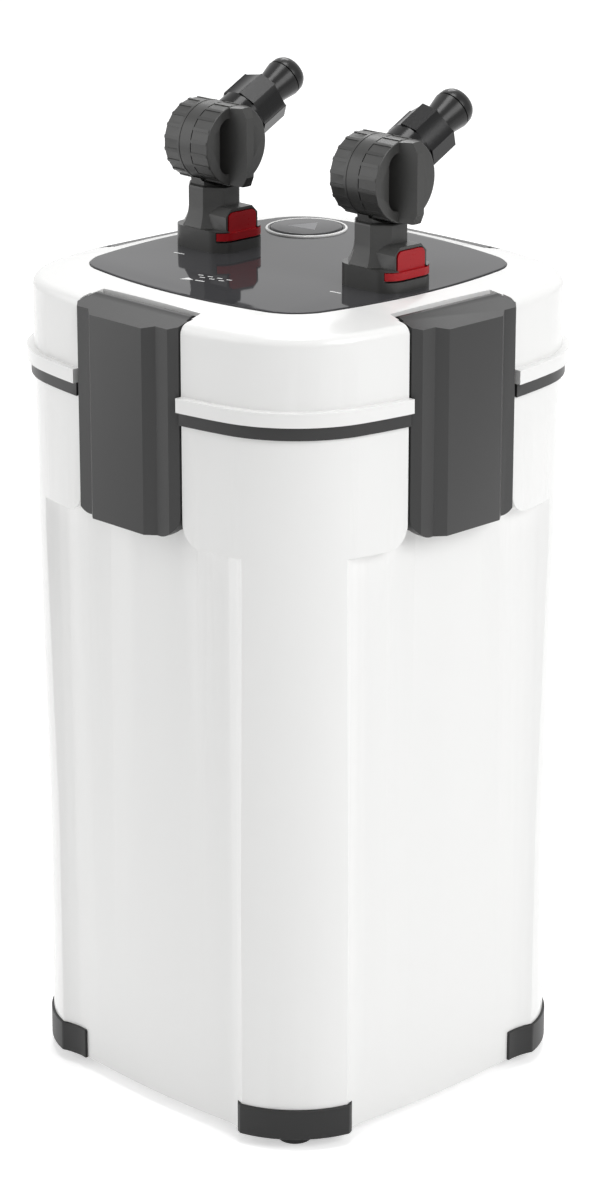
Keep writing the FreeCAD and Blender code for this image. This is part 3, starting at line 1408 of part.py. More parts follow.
def valve_housing(port, x):
    name = port + "_housing"
    core = drum(name + "_core", "drum_core", "0 - cap_room", "drum_front")
    band = drum(name + "_band", "drum_radius", "cap_play - cap_front", "drum_front")
    stub = prism(name + "_stub", 8, "stub_half", "drum_level - stub_level", ("0", "0", "stub_level"))
    boss = lean_out(cylinder(name + "_boss", "nozzle_radius + nozzle_boss", "nozzle_shoulder"))
    limit = drum(name + "_limit", "drum_radius * 3", "0 - drum_back", "drum_front")
    solid = common(name + "_limited", fuse(name + "_solid", core, band, stub, boss), limit)
    spigot = cylinder(name + "_spigot", "stub_radius", "stub_level - stub_under", ("0", "0", "stub_under"))
    nozzle = up_hose(name + "_nozzle", "nozzle_radius", "nozzle_shoulder", "nozzle_end")
    groove = tube(name + "_groove", "stub_radius + 1", "stub_ring_inner", "stub_ring_height",
                  ("0", "0", "stub_ring_under"))
    valve_room = drum(name + "_room", "valve_radius + valve_clearance", "0 - drum_back",
                      "valve_front + valve_clearance")
    stem_way = drum(name + "_stem_way", "stem_radius + valve_clearance", "0", "drum_front + 1")
    ways = (cylinder(name + "_mouth", "tap_bore", "stub_level - stub_under - 4",
                     ("0", "0", "stub_under - 1")),
            cylinder(name + "_rise", "plug_port", "drum_level - stub_level + 6",
                     ("0 - port_back", "0", "stub_level - 6")),
            up_hose(name + "_lead", "plug_port", "0", "nozzle_shoulder + nozzle_web + 1", "0 - port_back"),
            up_hose(name + "_outlet", "hose_bore", "nozzle_shoulder + nozzle_web", "nozzle_end + 1"))
    finished = cut(name, fuse(name + "_whole", solid, spigot, nozzle), groove, valve_room, stem_way, *ways)
    return keep(at_tap(finished, x), port + "_valve_housing")


def rear_cap(port, x):
    """Screwed cap over the back of the drum, clear of the nozzle's boss."""
    name = port + "_cap"
    blank = drum(name + "_blank", "cap_radius", "0 - drum_back", "0 - cap_front")
    room = drum(name + "_room", "drum_core", "0 - cap_room", "0")
    pip = drum(name + "_pip", "valve_radius - 1", "0 - drum_back", "0 - valve_back - cap_play")
    boss = cylinder(name + "_boss", "nozzle_radius + nozzle_boss + nut_gap", "nozzle_end")
    stub = prism(name + "_stub", 8, "stub_half + nut_gap", "drum_level - stub_level + 2",
                 ("0", "0", "stub_level - 2"))
    cap = cut(name + "_open", blank, room, lean_out(boss), stub)
    shaped = ribbed(name, fuse(name + "_solid", cap, pip), "cap_radius", "0 - drum_back - 1",
                    "cap_rib_run + 1")
    return keep(at_tap(shaped, x), port + "_rear_cap")


def valve_plug(port, x):
    """Quarter-turn plug: an elbow port from the stub to the nozzle, and a square stem for the knob."""
    name = port + "_plug"
    barrel = drum(name + "_barrel", "valve_radius", "0 - valve_back", "valve_front")
    stem = drum(name + "_stem", "stem_radius", "0", "knob_back")
    side = "stem_square / 2"
    square = box(name + "_square", ("drum_front", "0 - " + side, "drum_level - " + side),
                 ("knob_back + knob_cup_deep", side, "drum_level + " + side))
    drop = cylinder(name + "_drop", "plug_port", "drum_radius",
                    ("0 - port_back", "0", "drum_level - drum_radius"))
    rise = up_hose(name + "_rise", "plug_port", "0", "drum_radius", "0 - port_back")
    elbow = doc.addObject("Part::Sphere", name + "_elbow")
    bind(elbow, "Radius", "plug_port")
    place(elbow, ("0 - port_back", "0", "drum_level"))
    body = common(name + "_body", fuse(name + "_solid", barrel, stem),
                  drum(name + "_limit", "drum_radius", "0 - valve_back", "knob_back"))
    finished = fuse(name, cut(name + "_ported", body, drop, rise, elbow), square)
    return keep(at_tap(finished, x), port + "_valve_plug")


def knob(port, x):
    """Round knob with a wedge-shaped grip bar standing out of a wide finger recess."""
    name = port + "_knob"
    disc = drum(name + "_disc", "knob_radius", "knob_back", "knob_face")
    face = amount("knob_face")
    eased = round_edges(name + "_eased", disc, amount("knob_edge"),
                        lambda edge: abs(edge.BoundBox.XMin - face) < 0.01)
    body = ribbed(name + "_ribbed", eased, "knob_radius", "knob_back - 1", "knob_rib_run + 1")
    recess = rounded_box(name + "_recess", ("knob_floor", "0 - recess_out", "drum_level - recess_high"),
                         ("knob_face + 5", "recess_out", "drum_level + recess_high"), "recess_corner", X_AXIS)
    cup = cut(name + "_cup", drum(name + "_cup_out", "knob_cup", "0", "knob_back + knob_cup_deep"),
              drum(name + "_cup_boss", "knob_boss", "0", "knob_back + knob_cup_deep"))
    side = "stem_square / 2"
    square = box(name + "_square", ("0", "0 - " + side, "drum_level - " + side),
                 ("knob_back + knob_cup_deep", side, "drum_level + " + side))
    wedge = polygon_pad(name + "_wedge", "XY_Plane", [
        ("knob_floor - 1", "0 - grip_half"), ("grip_front", "0 - grip_tip"), ("grip_front", "grip_tip"),
        ("knob_floor - 1", "grip_half")], "knob_radius * 2", "drum_level - knob_radius")
    crest = polygon_pad(name + "_crest", "XZ_Plane", [
        ("knob_floor - 2", "drum_level - knob_radius"), ("grip_front - grip_drop", "drum_level - grip_reach"),
        ("grip_front", "drum_level - grip_flat"), ("grip_front", "drum_level + grip_flat"),
        ("grip_front - grip_drop", "drum_level + grip_reach"),
        ("knob_floor - 2", "drum_level + knob_radius")], "grip_half * 4", "0 - grip_half * 2")
    grip = common(name + "_grip", wedge, crest, drum(name + "_reach", "grip_reach", "0", "grip_front + 1"))
    hollowed = cut(name + "_hollowed", body, recess)
    finished = cut(name, fuse(name + "_solid", hollowed, grip), cup, square)
    return keep(at_tap(finished, x), port + "_valve_knob")


def hose_barb(port, x):
    """Flanged spigot with a waist, a flare to a lip, a fine groove, and a collar with a tapered tip."""
    name = port + "_barb"
    rounds = [cylinder(name + "_flange", "nozzle_radius", "barb_flange", ("0", "0", "nozzle_end")),
              cylinder(name + "_waist", "barb_waist", "flare_start - nozzle_end", ("0", "0", "nozzle_end")),
              cone(name + "_ramp", "barb_waist", "barb_lip", "flare_length", ("0", "0", "flare_start")),
              cylinder(name + "_neck", "groove_radius", "barb_groove", ("0", "0", "barb_lip_at")),
              cylinder(name + "_collar", "collar_radius", "collar_length", ("0", "0", "collar_start")),
              cone(name + "_tip", "collar_radius", "tip_radius", "tip_length", ("0", "0", "collar_end"))]
    bore = cylinder(name + "_bore", "hose_bore", "barb_end", ("0", "0", "nozzle_end - 1"))
    finished = cut(name, fuse(name + "_solid", *rounds), bore)
    return keep(at_hose(finished, x), port + "_hose_barb")


def hose_nut(port, x):
    """Eight-sided nut: four wide flats and, between them, four narrower grip pads that stand further out."""
    name = port + "_nut"
    body_start = "nut_start + nut_collar_length"
    length = "nut_end - nut_start - nut_collar_length"
    flats = prism(name + "_flats", 4, "nut_flats", length, ("0", "0", body_start))
    pads = prism(name + "_pads", 4, "nut_pads", length, ("0", "0", body_start))
    bind(flats, "Placement.Rotation.Angle", "%s_nut_turn + 45" % port)
    bind(pads, "Placement.Rotation.Angle", "%s_nut_turn" % port)
    corner = "nut_pads / cos(20)"
    turned = fuse(name + "_turned",
                  cone(name + "_low", corner + " - nut_bevel", corner, "nut_bevel", ("0", "0", body_start)),
                  cylinder(name + "_middle", corner, length + " - nut_bevel * 2",
                           ("0", "0", body_start + " + nut_bevel")),
                  cone(name + "_high", corner, corner + " - nut_bevel", "nut_bevel",
                       ("0", "0", "nut_end - nut_bevel")))
    collar = cylinder(name + "_collar", "nut_collar", "nut_collar_length + 1", ("0", "0", "nut_start"))
    thread = cylinder(name + "_thread", "nozzle_radius", "nozzle_end + barb_flange - nut_start",
                      ("0", "0", "nut_start"))
    way = cylinder(name + "_way", "barb_waist + nut_gap", "nut_length", ("0", "0", "nut_start + 1"))
    form = fuse(name + "_solid", common(name + "_form", flats, pads, turned), collar)
    return keep(at_hose(cut(name, form, thread, way), x), port + "_hose_nut")


def stub_seal(port, x):
    ring = tube(port + "_ring", "neck_bore - stub_ring_gap", "stub_ring_inner", "stub_ring_height",
                ("0", "0", "stub_ring_under"))
    return keep(at_tap(ring, x), port + "_stub_seal")


def port_seals():
    rings = []
    for port, x in tap_places():
        ring = tube(port + "_port_ring", "port_bore - stub_ring_gap", "port_ring_inner", "port_ring_height",
                    ("0", "0", "port_ring_under"))
        rings.append(at_tap(ring, x))
    return keep(fuse("port_rings", *rings), "port_seals")


def build():
    foot_forms = feet()
    foot_studs()
    canister_shell(foot_forms)
    for side, angle in SIDES.items():
        latch(side, angle)
    latch_pins()
    head_cover()
    top_panel()
    head_base()
    pump_housing()
    head_seal()
    head_screws()
    cable_gland()
    pump_parts()
    stator()
    down_tube()
    for number, label in enumerate(("basket_lower", "basket_middle", "basket_upper")):
        basket(number, label)
    media(0, "coarse_sponge", "media_height")
    media(1, "ceramic_media", "media_height")
    media(2, "filter_floss", "media_height / 2")
    primer()
    for port, x in tap_places():
        for make in (tap_base, tap_release, valve_housing, rear_cap, valve_plug, knob, hose_barb, hose_nut,
                     stub_seal):
            make(port, x)
    port_seals()


def check_and_write():
    doc.recompute()
    for thing in doc.Objects:
        if "Invalid" in thing.State or "Error" in thing.State:
            raise RuntimeError("%s did not compute: %s" % (thing.Label, thing.State))
    os.makedirs("parts", exist_ok=True)
    for thing in nodes:
        shape = thing.Shape
        if shape.isNull() or not shape.isValid() or not shape.Solids:
            raise RuntimeError("%s has no valid solid" % thing.Label)
    for thing in nodes:
        thing.Shape.exportStep("parts/%s.step" % thing.Label)
        print("%-24s %d solids  %9.1f mm3" % (thing.Label, len(thing.Shape.Solids), thing.Shape.Volume))
    print(len(nodes), "nodes")


build()
check_and_write()
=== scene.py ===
"""Dresses the canister filter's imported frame: softened edges, printed marks, moulded plastics and a studio.

Sizes are in millimetres and turned to metres with MM.
"""

import json
import math

import bmesh
import bpy
from bpy.props import FloatProperty, PointerProperty, StringProperty
from mathutils import Matrix, Vector


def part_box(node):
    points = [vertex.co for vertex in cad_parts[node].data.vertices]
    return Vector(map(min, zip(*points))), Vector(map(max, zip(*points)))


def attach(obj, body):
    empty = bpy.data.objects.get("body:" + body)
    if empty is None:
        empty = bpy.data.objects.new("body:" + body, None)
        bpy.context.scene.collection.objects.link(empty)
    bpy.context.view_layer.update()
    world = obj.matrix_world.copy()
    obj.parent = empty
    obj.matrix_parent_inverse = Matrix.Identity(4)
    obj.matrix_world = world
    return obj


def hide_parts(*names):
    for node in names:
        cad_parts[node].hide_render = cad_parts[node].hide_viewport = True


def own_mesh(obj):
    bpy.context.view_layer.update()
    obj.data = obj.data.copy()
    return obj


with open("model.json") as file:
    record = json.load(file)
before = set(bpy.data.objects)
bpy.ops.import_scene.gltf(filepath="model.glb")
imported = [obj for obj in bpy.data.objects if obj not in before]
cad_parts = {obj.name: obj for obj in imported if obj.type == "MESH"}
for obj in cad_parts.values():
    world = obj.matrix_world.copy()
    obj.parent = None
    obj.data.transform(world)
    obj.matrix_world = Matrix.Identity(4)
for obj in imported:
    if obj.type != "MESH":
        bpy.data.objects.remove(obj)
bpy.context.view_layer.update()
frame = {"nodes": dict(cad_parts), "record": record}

bl_info = {
    "name": "Canister filter",
    "version": (1, 1, 0),
    "blender": (4, 5, 0),
    "location": "View3D > Sidebar > Filter",
    "description": "Builds the visible pieces and finishes of a canister filter round its solid model",
    "category": "Object",
}

MM = 0.001
SIDES = ("front", "right", "back", "left")
CORNERS = ("front_left", "front_right", "back_left", "back_right")

# The hose axis leans this many degrees up from level, and the knob starts this far out from it. What reaches to the
# drum stays this far from its axis, clear of the knob's ribs, and further still beside the knob itself.
HOSE_LEAN = 27.7
KNOB_BACK = 4.3
DRUM_CLEAR = 19.6
KNOB_CLEAR = 20.5

# How far each nut is turned about its hose, in degrees. The taps are equal but for that.
NUT_TURNS = {"inlet": -54.8, "outlet": -73.8}

# Ink stands this far above what it is printed on, and starts this far inside it.
INK_RISE, INK_SINK = 0.04, 0.02

# Meshes are merged within this distance.
WELD = 0.002

# A face turned less than this from its neighbour is flat with it, and one turned less than SMOOTH is on one curve.
FLAT = math.radians(0.6)
SMOOTH = math.radians(28)


# Colours and materials.

def linear(text):
    """A colour written as sRGB hex, as linear red, green, blue and alpha."""
    parts = [int(text[i:i + 2], 16) / 255 for i in (1, 3, 5)]
    return [p / 12.92 if p <= 0.04045 else ((p + 0.055) / 1.055) ** 2.4 for p in parts] + [1.0]


def add(tree, kind, settings=None, links=None):
    """Add a shader node, set its properties and sockets, and link outputs of others into it."""
    node = tree.nodes.new(kind)
    for name, value in (settings or {}).items():
        if name in node.inputs:
            node.inputs[name].default_value = value
        else:
            setattr(node, name, value)
    for name, output in (links or {}).items():
        tree.links.new(output, node.inputs[name])
    return node


def new_material(name, settings):
    """A material with one Principled shader, whose sockets take the given settings."""
    material = bpy.data.materials.new(name)
    material.use_nodes = True
    tree = material.node_tree
    tree.nodes.clear()
    shader = add(tree, "ShaderNodeBsdfPrincipled", settings)
    add(tree, "ShaderNodeOutputMaterial", links={"Surface": shader.outputs["BSDF"]})
    place = add(tree, "ShaderNodeTexCoord").outputs["Object"]
    return material, tree, shader, place


def moulded(name, colour, roughness, grain_mm, grain_depth, mottle=0.03, flow_mm=60.0, **settings):
    """Injection-moulded plastic: fine mould texture, a slow drift of tone and uneven gloss."""
    settings = {key.replace("_", " "): value for key, value in settings.items()}
    material, tree, shader, place = new_material(name, {"Roughness": roughness, **settings})
    base = linear(colour)
    tone = add(tree, "ShaderNodeTexNoise", {"Scale": 1000 / flow_mm, "Detail": 3.0}, {"Vector": place})
    mix = add(tree, "ShaderNodeMix", {"data_type": "RGBA"}, {"Factor": tone.outputs["Fac"]})
    mix.inputs["A"].default_value = [c * (1 - mottle) for c in base[:3]] + [1.0]
    mix.inputs["B"].default_value = [min(1.0, c * (1 + mottle)) for c in base[:3]] + [1.0]
    tree.links.new(mix.outputs["Result"], shader.inputs["Base Color"])
    grain = add(tree, "ShaderNodeTexNoise", {"Scale": 1000 / grain_mm, "Detail": 4.0, "Roughness": 0.6},
                {"Vector": place})
    gloss = add(tree, "ShaderNodeMapRange", {"To Min": roughness * 0.9, "To Max": roughness * 1.12},
                {"Value": grain.outputs["Fac"]})
    tree.links.new(gloss.outputs["Result"], shader.inputs["Roughness"])
    bump = add(tree, "ShaderNodeBump", {"Strength": 1.0, "Distance": grain_depth * MM},
               {"Height": grain.outputs["Fac"]})
    tree.links.new(bump.outputs["Normal"], shader.inputs["Normal"])
    return material


def gloss_abs():
    # ABS moulded in a polished tool: bright, with the faint ripple of a large thin wall.
    return moulded("gloss_abs_moulded", settings().shell, 0.24, 9.0, 0.01, mottle=0.006, flow_mm=120,
                   Coat_Weight=0.2, Coat_Roughness=0.1)


def satin_abs():
    # ABS moulded in a spark-eroded tool: dark grey with a fine even grain that spreads highlights.
    return moulded("satin_abs_spark_eroded", settings().latch, 0.36, 0.9, 0.022, mottle=0.05,
                   Specular_IOR_Level=0.36)


def foot_abs():
    # The same spark-eroded ABS in the feet's darker grey.
    return moulded("dark_abs_spark_eroded", settings().foot, 0.45, 0.9, 0.025, mottle=0.05,
                   Specular_IOR_Level=0.3)


def filled_nylon():
    # Glass-filled nylon of the taps: the fibres show as a soft mottle under a low shine that edges catch.
    return moulded("glass_filled_nylon", settings().tap, 0.33, 1.1, 0.02, mottle=0.08, flow_mm=6,
                   Specular_IOR_Level=0.42)


def barb_nylon():
    # The barbs' nylon is left unfilled for a smooth hose seat: darker and glossier than the taps.
    return moulded("smooth_dark_nylon", settings().barb, 0.26, 2.0, 0.01, mottle=0.03,
                   Specular_IOR_Level=0.25)


def band_abs():
    # The same grained ABS in the darker grey of the base plate's edge.
    return moulded("band_abs_spark_eroded", settings().band, 0.4, 0.9, 0.022, mottle=0.05,
                   Specular_IOR_Level=0.36)


def black_acetal():
    # Acetal of the hose nuts: near black and waxy, so edges catch a sharp light.
    return moulded("black_acetal_moulded", settings().nut, 0.2, 1.4, 0.01, mottle=0.05,
                   Specular_IOR_Level=0.24)


def red_abs():
    # Glossy red ABS of the release buttons.
    return moulded("red_gloss_abs", settings().release, 0.28, 1.5, 0.012, mottle=0.03,
                   Specular_IOR_Level=0.25)


def panel_acrylic():
    # Smoked acrylic over the head, polished flat: the taps are mirrored in it over the grey of its backing.
    return moulded("smoked_acrylic_polished", settings().panel, 0.05, 25.0, 0.004, mottle=0.01,
                   Specular_IOR_Level=0.12)


def button_acrylic():
    # The priming button's cap: the same black acrylic with a slightly softer polish.
    return moulded("smoked_acrylic_button", settings().button, 0.12, 20.0, 0.006, mottle=0.02,
                   Specular_IOR_Level=0.12)


def screen_ink():
    # White ink screened on the panel: matt, thin and slightly uneven.
    return moulded("white_screen_ink", settings().ink, 0.6, 0.5, 0.01, mottle=0.04, flow_mm=2)


def grey_ink():
    # Translucent grey ink on the button, a little lighter than the acrylic under it.
    return moulded("grey_screen_ink", settings().button_ink, 0.35, 0.5, 0.005, mottle=0.04, flow_mm=3)


def nitrile_rubber():
    # Nitrile rubber of seals and studs: dull black with a slight bloom.
    return moulded("nitrile_rubber_moulded", settings().rubber, 0.75, 1.0, 0.05, mottle=0.12, flow_mm=10)


def black_polypropylene():
    # Polypropylene of baskets, pump housing and inner pipes: waxy dark grey.
    return moulded("polypropylene_moulded", settings().basket, 0.45, 1.5, 0.03, mottle=0.05)


def white_nylon():
    # Natural nylon of the impeller and bushes: milky, with a low shine.
    return moulded("natural_nylon_moulded", settings().impeller, 0.4, 1.5, 0.02, mottle=0.03)


def stainless_steel():
    # Drawn stainless steel: fine lines along the bar, stretched about z.
    material, tree, shader, place = new_material("stainless_steel_drawn", {
        "Base Color": linear("#b9b9b6"), "Metallic": 1.0, "Roughness": 0.28})
    stretch = add(tree, "ShaderNodeMapping", {"Scale": (3000.0, 3000.0, 60.0)}, {"Vector": place})
    lines = add(tree, "ShaderNodeTexNoise", {"Scale": 1.0, "Detail": 2.0}, {"Vector": stretch.outputs["Vector"]})
    gloss = add(tree, "ShaderNodeMapRange", {"To Min": 0.2, "To Max": 0.38}, {"Value": lines.outputs["Fac"]})
    tree.links.new(gloss.outputs["Result"], shader.inputs["Roughness"])
    bump = add(tree, "ShaderNodeBump", {"Distance": 0.01 * MM}, {"Height": lines.outputs["Fac"]})
    tree.links.new(bump.outputs["Normal"], shader.inputs["Normal"])
    return material


def striped_metal(name, colour, direction, pitch_mm, depth_mm, distortion, **settings):
    """Metal with fine parallel ridges, one every pitch_mm."""
    settings = {key.replace("_", " "): value for key, value in settings.items()}
    material, tree, shader, place = new_material(name, {"Base Color": linear(colour), **settings})
    ridges = add(tree, "ShaderNodeTexWave", {"bands_direction": direction, "Distortion": distortion,
                                             "Scale": 1000 / pitch_mm / (2 * math.pi)}, {"Vector": place})
    bump = add(tree, "ShaderNodeBump", {"Distance": depth_mm * MM}, {"Height": ridges.outputs["Fac"]})
    tree.links.new(bump.outputs["Normal"], shader.inputs["Normal"])
    return material


def laminated_steel():
    # Stack of 0.5 mm silicon steel sheets, drawn 1 mm thick so that they show.
    return striped_metal("silicon_steel_laminations", "#6d7073", "Z", 1.0, 0.1, 0.0, Metallic=1.0, Roughness=0.45)


def wound_copper():
    # Enamelled copper wire of 0.4 mm, drawn 0.8 mm so that the turns show.
    return striped_metal("enamelled_copper_winding", "#9c5a2c", "X", 0.8, 0.2, 0.4, Metallic=0.8, Roughness=0.3,
                         Coat_Weight=0.6)


def ground_ferrite():
    # Sintered ferrite: charcoal, ground round, slightly sparkling.
    return moulded("sintered_ferrite_ground", "#2c2c2e", 0.55, 0.7, 0.05, mottle=0.15, flow_mm=4)


def lumpy(name, low, high, texture, output, depth_mm, high_at=1.0, invert=False, **settings):
    """A soft or porous filling: a texture sets both its colour, from low to high, and its relief. The callers put
    the darker colour where the relief is low, so the hollows carry painted shade.
    """
    settings = {key.replace("_", " "): value for key, value in settings.items()}
    material, tree, shader, place = new_material(name, settings)
    kind, values = texture
    lumps = add(tree, kind, values, {"Vector": place}).outputs[output]
    ramp = add(tree, "ShaderNodeValToRGB", links={"Fac": lumps})
    ramp.color_ramp.elements[0].color = linear(low)
    ramp.color_ramp.elements[1].color = linear(high)
    ramp.color_ramp.elements[1].position = high_at
    tree.links.new(ramp.outputs["Color"], shader.inputs["Base Color"])
    bump = add(tree, "ShaderNodeBump", {"Distance": depth_mm * MM, "invert": invert}, {"Height": lumps})
    tree.links.new(bump.outputs["Normal"], shader.inputs["Normal"])
    return material


def open_foam():
    # Reticulated polyurethane foam: cells of about 2.5 mm, blue along the struts and near black towards each cell's
    # middle, which is painted shade in the pores.
    cells = ("ShaderNodeTexVoronoi", {"Scale": 1000 / 2.5, "feature": "DISTANCE_TO_EDGE"})
    return lumpy("reticulated_foam", "#2f4a6e", "#0c1522", cells, "Distance", 0.8, 0.35, True, Roughness=0.95)


def fibre_floss():
    # Bonded polyester fibre pad: white, crossed by fine strands. The grey where the relief is low is painted shade
    # between the strands, along with a random drift of tone.
    strands = ("ShaderNodeTexNoise", {"Scale": 1000 / 1.5, "Detail": 6.0, "Distortion": 3.0})
    return lumpy("bonded_polyester_fibre", "#c9c9c4", "#f4f4f0", strands, "Fac", 0.6, Roughness=0.95,
                 Sheen_Weight=0.3)


def fired_ceramic():
    # Bed of fired ceramic rings, about 14 mm each: cream lumps, with painted shade in dark brown in the gaps between
    # them.
    lumps = ("ShaderNodeTexVoronoi", {"Scale": 1000 / 14.0})
    return lumpy("fired_ceramic_bed", "#d8ccb8", "#6d5f4d", lumps, "Distance", 3.0, 1.0, True, Roughness=0.9)


materials = {}
RECIPES = {
    "shell_white": gloss_abs, "latch_grey": satin_abs, "band_grey": band_abs, "foot_grey": foot_abs,
    "panel_gloss": panel_acrylic, "tap_grey": filled_nylon, "nut_black": black_acetal, "release_red": red_abs,
    "button_grey": button_acrylic, "seal_rubber": nitrile_rubber, "stud_rubber": nitrile_rubber,
    "pin_steel": stainless_steel, "magnet_ferrite": ground_ferrite, "core_steel": laminated_steel,
    "coil_copper": wound_copper, "basket_plastic": black_polypropylene, "impeller_plastic": white_nylon,
    "sponge_foam": open_foam, "floss_fibre": fibre_floss, "ceramic_rings": fired_ceramic,
}
SLOTS = {part["node"]: part["material_slot"] for part in frame["record"]["subparts"]}
BODIES = {node: body for body, nodes in frame["record"]["behaviour"]["bodies"].items() for node in nodes}


def finish(recipe):
    """The material that a recipe makes, made when it is first asked for."""
    if recipe not in materials:
        materials[recipe] = recipe()
    return materials[recipe]


def dress(node):
    """Give a CAD node that stays in view its material."""
    mesh = frame["nodes"][node].data
    mesh.materials.clear()
    mesh.materials.append(finish(RECIPES[SLOTS[node]]))


# Pieces.

def new_piece(name, bm, body, slot, recipe=None):
    """An object made from a bmesh, smooth but for its sharp edges, that rides on a body."""
    mesh = bpy.data.meshes.new(name)
    bm.to_mesh(mesh)
    bm.free()
    mesh.shade_smooth()
    mesh.set_sharp_from_angle(angle=SMOOTH)
    piece = bpy.data.objects.new(name, mesh)
    bpy.context.scene.collection.objects.link(piece)
    mesh.materials.append(finish(recipe or RECIPES[slot]))
    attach(piece, body)
    return piece


def round_edges(piece, width, segments=3):
    """Round the sharp edges of a piece, width millimetres across."""
    edges = piece.modifiers.new("rounded_edges", "BEVEL")
    edges.limit_method = "ANGLE"
    edges.angle_limit = SMOOTH
    edges.width = width * MM
    edges.segments = segments
    edges.harden_normals = True


def softened(node, width, segments=3):
    """Stand in for a CAD node with a merged copy whose sharp edges are rounded."""
    bm = bmesh.new()
    bm.from_mesh(frame["nodes"][node].data)
    bmesh.ops.remove_doubles(bm, verts=bm.verts, dist=WELD * MM)
    bmesh.ops.dissolve_limit(bm, angle_limit=FLAT, verts=bm.verts, edges=bm.edges)
    piece = new_piece(node + "_moulded", bm, BODIES[node], SLOTS[node])
    round_edges(piece, width, segments)
    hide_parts(node)
    return piece


def add_round(bm, profile, steps=72):
    """Spin a closed profile of (radius, height) points a full turn about z."""
    rim = [bm.verts.new((radius * MM, 0, height * MM)) for radius, height in profile]
    edges = [bm.edges.new((rim[i - 1], rim[i])) for i in range(len(rim))]
    bmesh.ops.spin(bm, geom=rim + edges, cent=(0, 0, 0), axis=(0, 0, 1), angle=2 * math.pi, steps=steps,
                   use_merge=True)


def add_ring(bm, points):
    """A closed loop of edges through (x, y, z) points."""
    loop = [bm.verts.new((x * MM, y * MM, z * MM)) for x, y, z in points]
    return [bm.edges.new((loop[i - 1], loop[i])) for i in range(len(loop))]


def add_tube(bm, outlines):
    """A closed skin over a chain of outlines, the last of which joins the first."""
    rings = [add_ring(bm, outline) for outline in outlines]
    for i in range(len(rings)):
        bmesh.ops.bridge_loops(bm, edges=rings[i - 1] + rings[i])


def circle(radius, height):
    """Points round z; the height is a number or a function of (x, y)."""
    around = [2 * math.pi * i / 48 for i in range(48)]
    flat = [(radius * math.cos(a), radius * math.sin(a)) for a in around]
    return [(x, y, height(x, y) if callable(height) else height) for x, y in flat]


def placed(bm, matrix):
    """Turn normals outward and move what was built about the origin to its place."""
    bmesh.ops.recalc_face_normals(bm, faces=bm.faces)
    bmesh.ops.transform(bm, matrix=matrix, verts=bm.verts)
    return bm


def hose_place(port):
    """The place of a tap's hose axis: z runs out along it from the middle of the drum."""
    low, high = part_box(port + "_valve_knob")
    middle = (Vector(low) + Vector(high)) / 2
    middle.x = low[0] - KNOB_BACK * MM
    return Matrix.Translation(middle) @ Matrix.Rotation(math.radians(HOSE_LEAN - 90), 4, "X")


def add_plate(bm, points, low, high):
    """A flat plate between two levels, with the given outline of (x, y) points."""
    face = bm.faces.new([bm.verts.new((x * MM, y * MM, low * MM)) for x, y in points])
    grown = bmesh.ops.extrude_face_region(bm, geom=[face])["geom"]
    lifted = [item for item in grown if isinstance(item, bmesh.types.BMVert)]
    bmesh.ops.translate(bm, vec=(0, 0, (high - low) * MM), verts=lifted)


def strip(middle, length, width, turn):
    """The outline of a bar about its middle, turned by an angle in degrees."""
    along = Vector((math.cos(math.radians(turn)), math.sin(math.radians(turn))))
    across = Vector((-along.y, along.x))
    return [Vector(middle) + along * (length / 2) * a + across * (width / 2) * b
            for a, b in ((-1, -1), (1, -1), (1, 1), (-1, 1))]


# Settings that a user would change.

class FilterSettings(bpy.types.PropertyGroup):
    shell: StringProperty(name="Shell", description="Colour of the white shell and cover", default="#eeeeed")
    latch: StringProperty(name="Latch", description="Colour of the latches", default="#333333")
    foot: StringProperty(name="Foot", description="Colour of the corner feet", default="#262626")
    tap: StringProperty(name="Tap", description="Colour of the taps", default="#363635")
    barb: StringProperty(name="Barb", description="Colour of the hose barbs", default="#1c1c1c")
    band: StringProperty(name="Band", description="Colour of the band under the cover", default="#2c2c2c")
    nut: StringProperty(name="Nut", description="Colour of the hose nuts", default="#0e0e0f")
    release: StringProperty(name="Release", description="Colour of the red releases", default="#a20d18")
    panel: StringProperty(name="Panel", description="Colour of the top panel", default="#3c3c3e")
    button: StringProperty(name="Button", description="Colour of the priming button", default="#3a3a3c")
    ink: StringProperty(name="Ink", description="Colour of the marks on the panel", default="#f0f0f0")
    button_ink: StringProperty(name="Button ink", description="Colour of the button's mark", default="#58585c")
    rubber: StringProperty(name="Rubber", description="Colour of seals and studs", default="#262626")
    basket: StringProperty(name="Basket", description="Colour of baskets and pipes", default="#303032")
    impeller: StringProperty(name="Impeller", description="Colour of the impeller", default="#d9d8d2")
    floor: StringProperty(name="Floor", description="Colour of the floor", default="#f6f6f6")
    shell_edge: FloatProperty(name="Shell edge", description="Width of the shell's rounded edges",
                              default=0.9 * MM, min=0.1 * MM, max=3.0 * MM, precision=5, unit="LENGTH")
    tap_edge: FloatProperty(name="Tap edge", description="Width of the taps' rounded edges",
                            default=0.6 * MM, min=0.1 * MM, max=2.0 * MM, precision=5, unit="LENGTH")
    latch_edge: FloatProperty(name="Latch edge", description="Width of the latches' rounded edges",
                              default=1.8 * MM, min=0.1 * MM, max=3.0 * MM, precision=5, unit="LENGTH")
    lens: FloatProperty(name="Lens", description="Focal length of the camera", default=111.88, unit="CAMERA")


def settings():
    return bpy.context.scene.canister_filter


# Operators.

class FILTER_OT_canister(bpy.types.Operator):
    """Finish the canister shell, its feet and studs"""

    bl_idname = "canister_filter.canister"
    bl_label = "Canister, feet and studs"

    def execute(self, context):
        softened("canister_shell", settings().shell_edge / MM)
        for corner in CORNERS:
            softened("foot_" + corner, 0.8)
        dress("foot_studs")
        foot_arms()
        return {"FINISHED"}


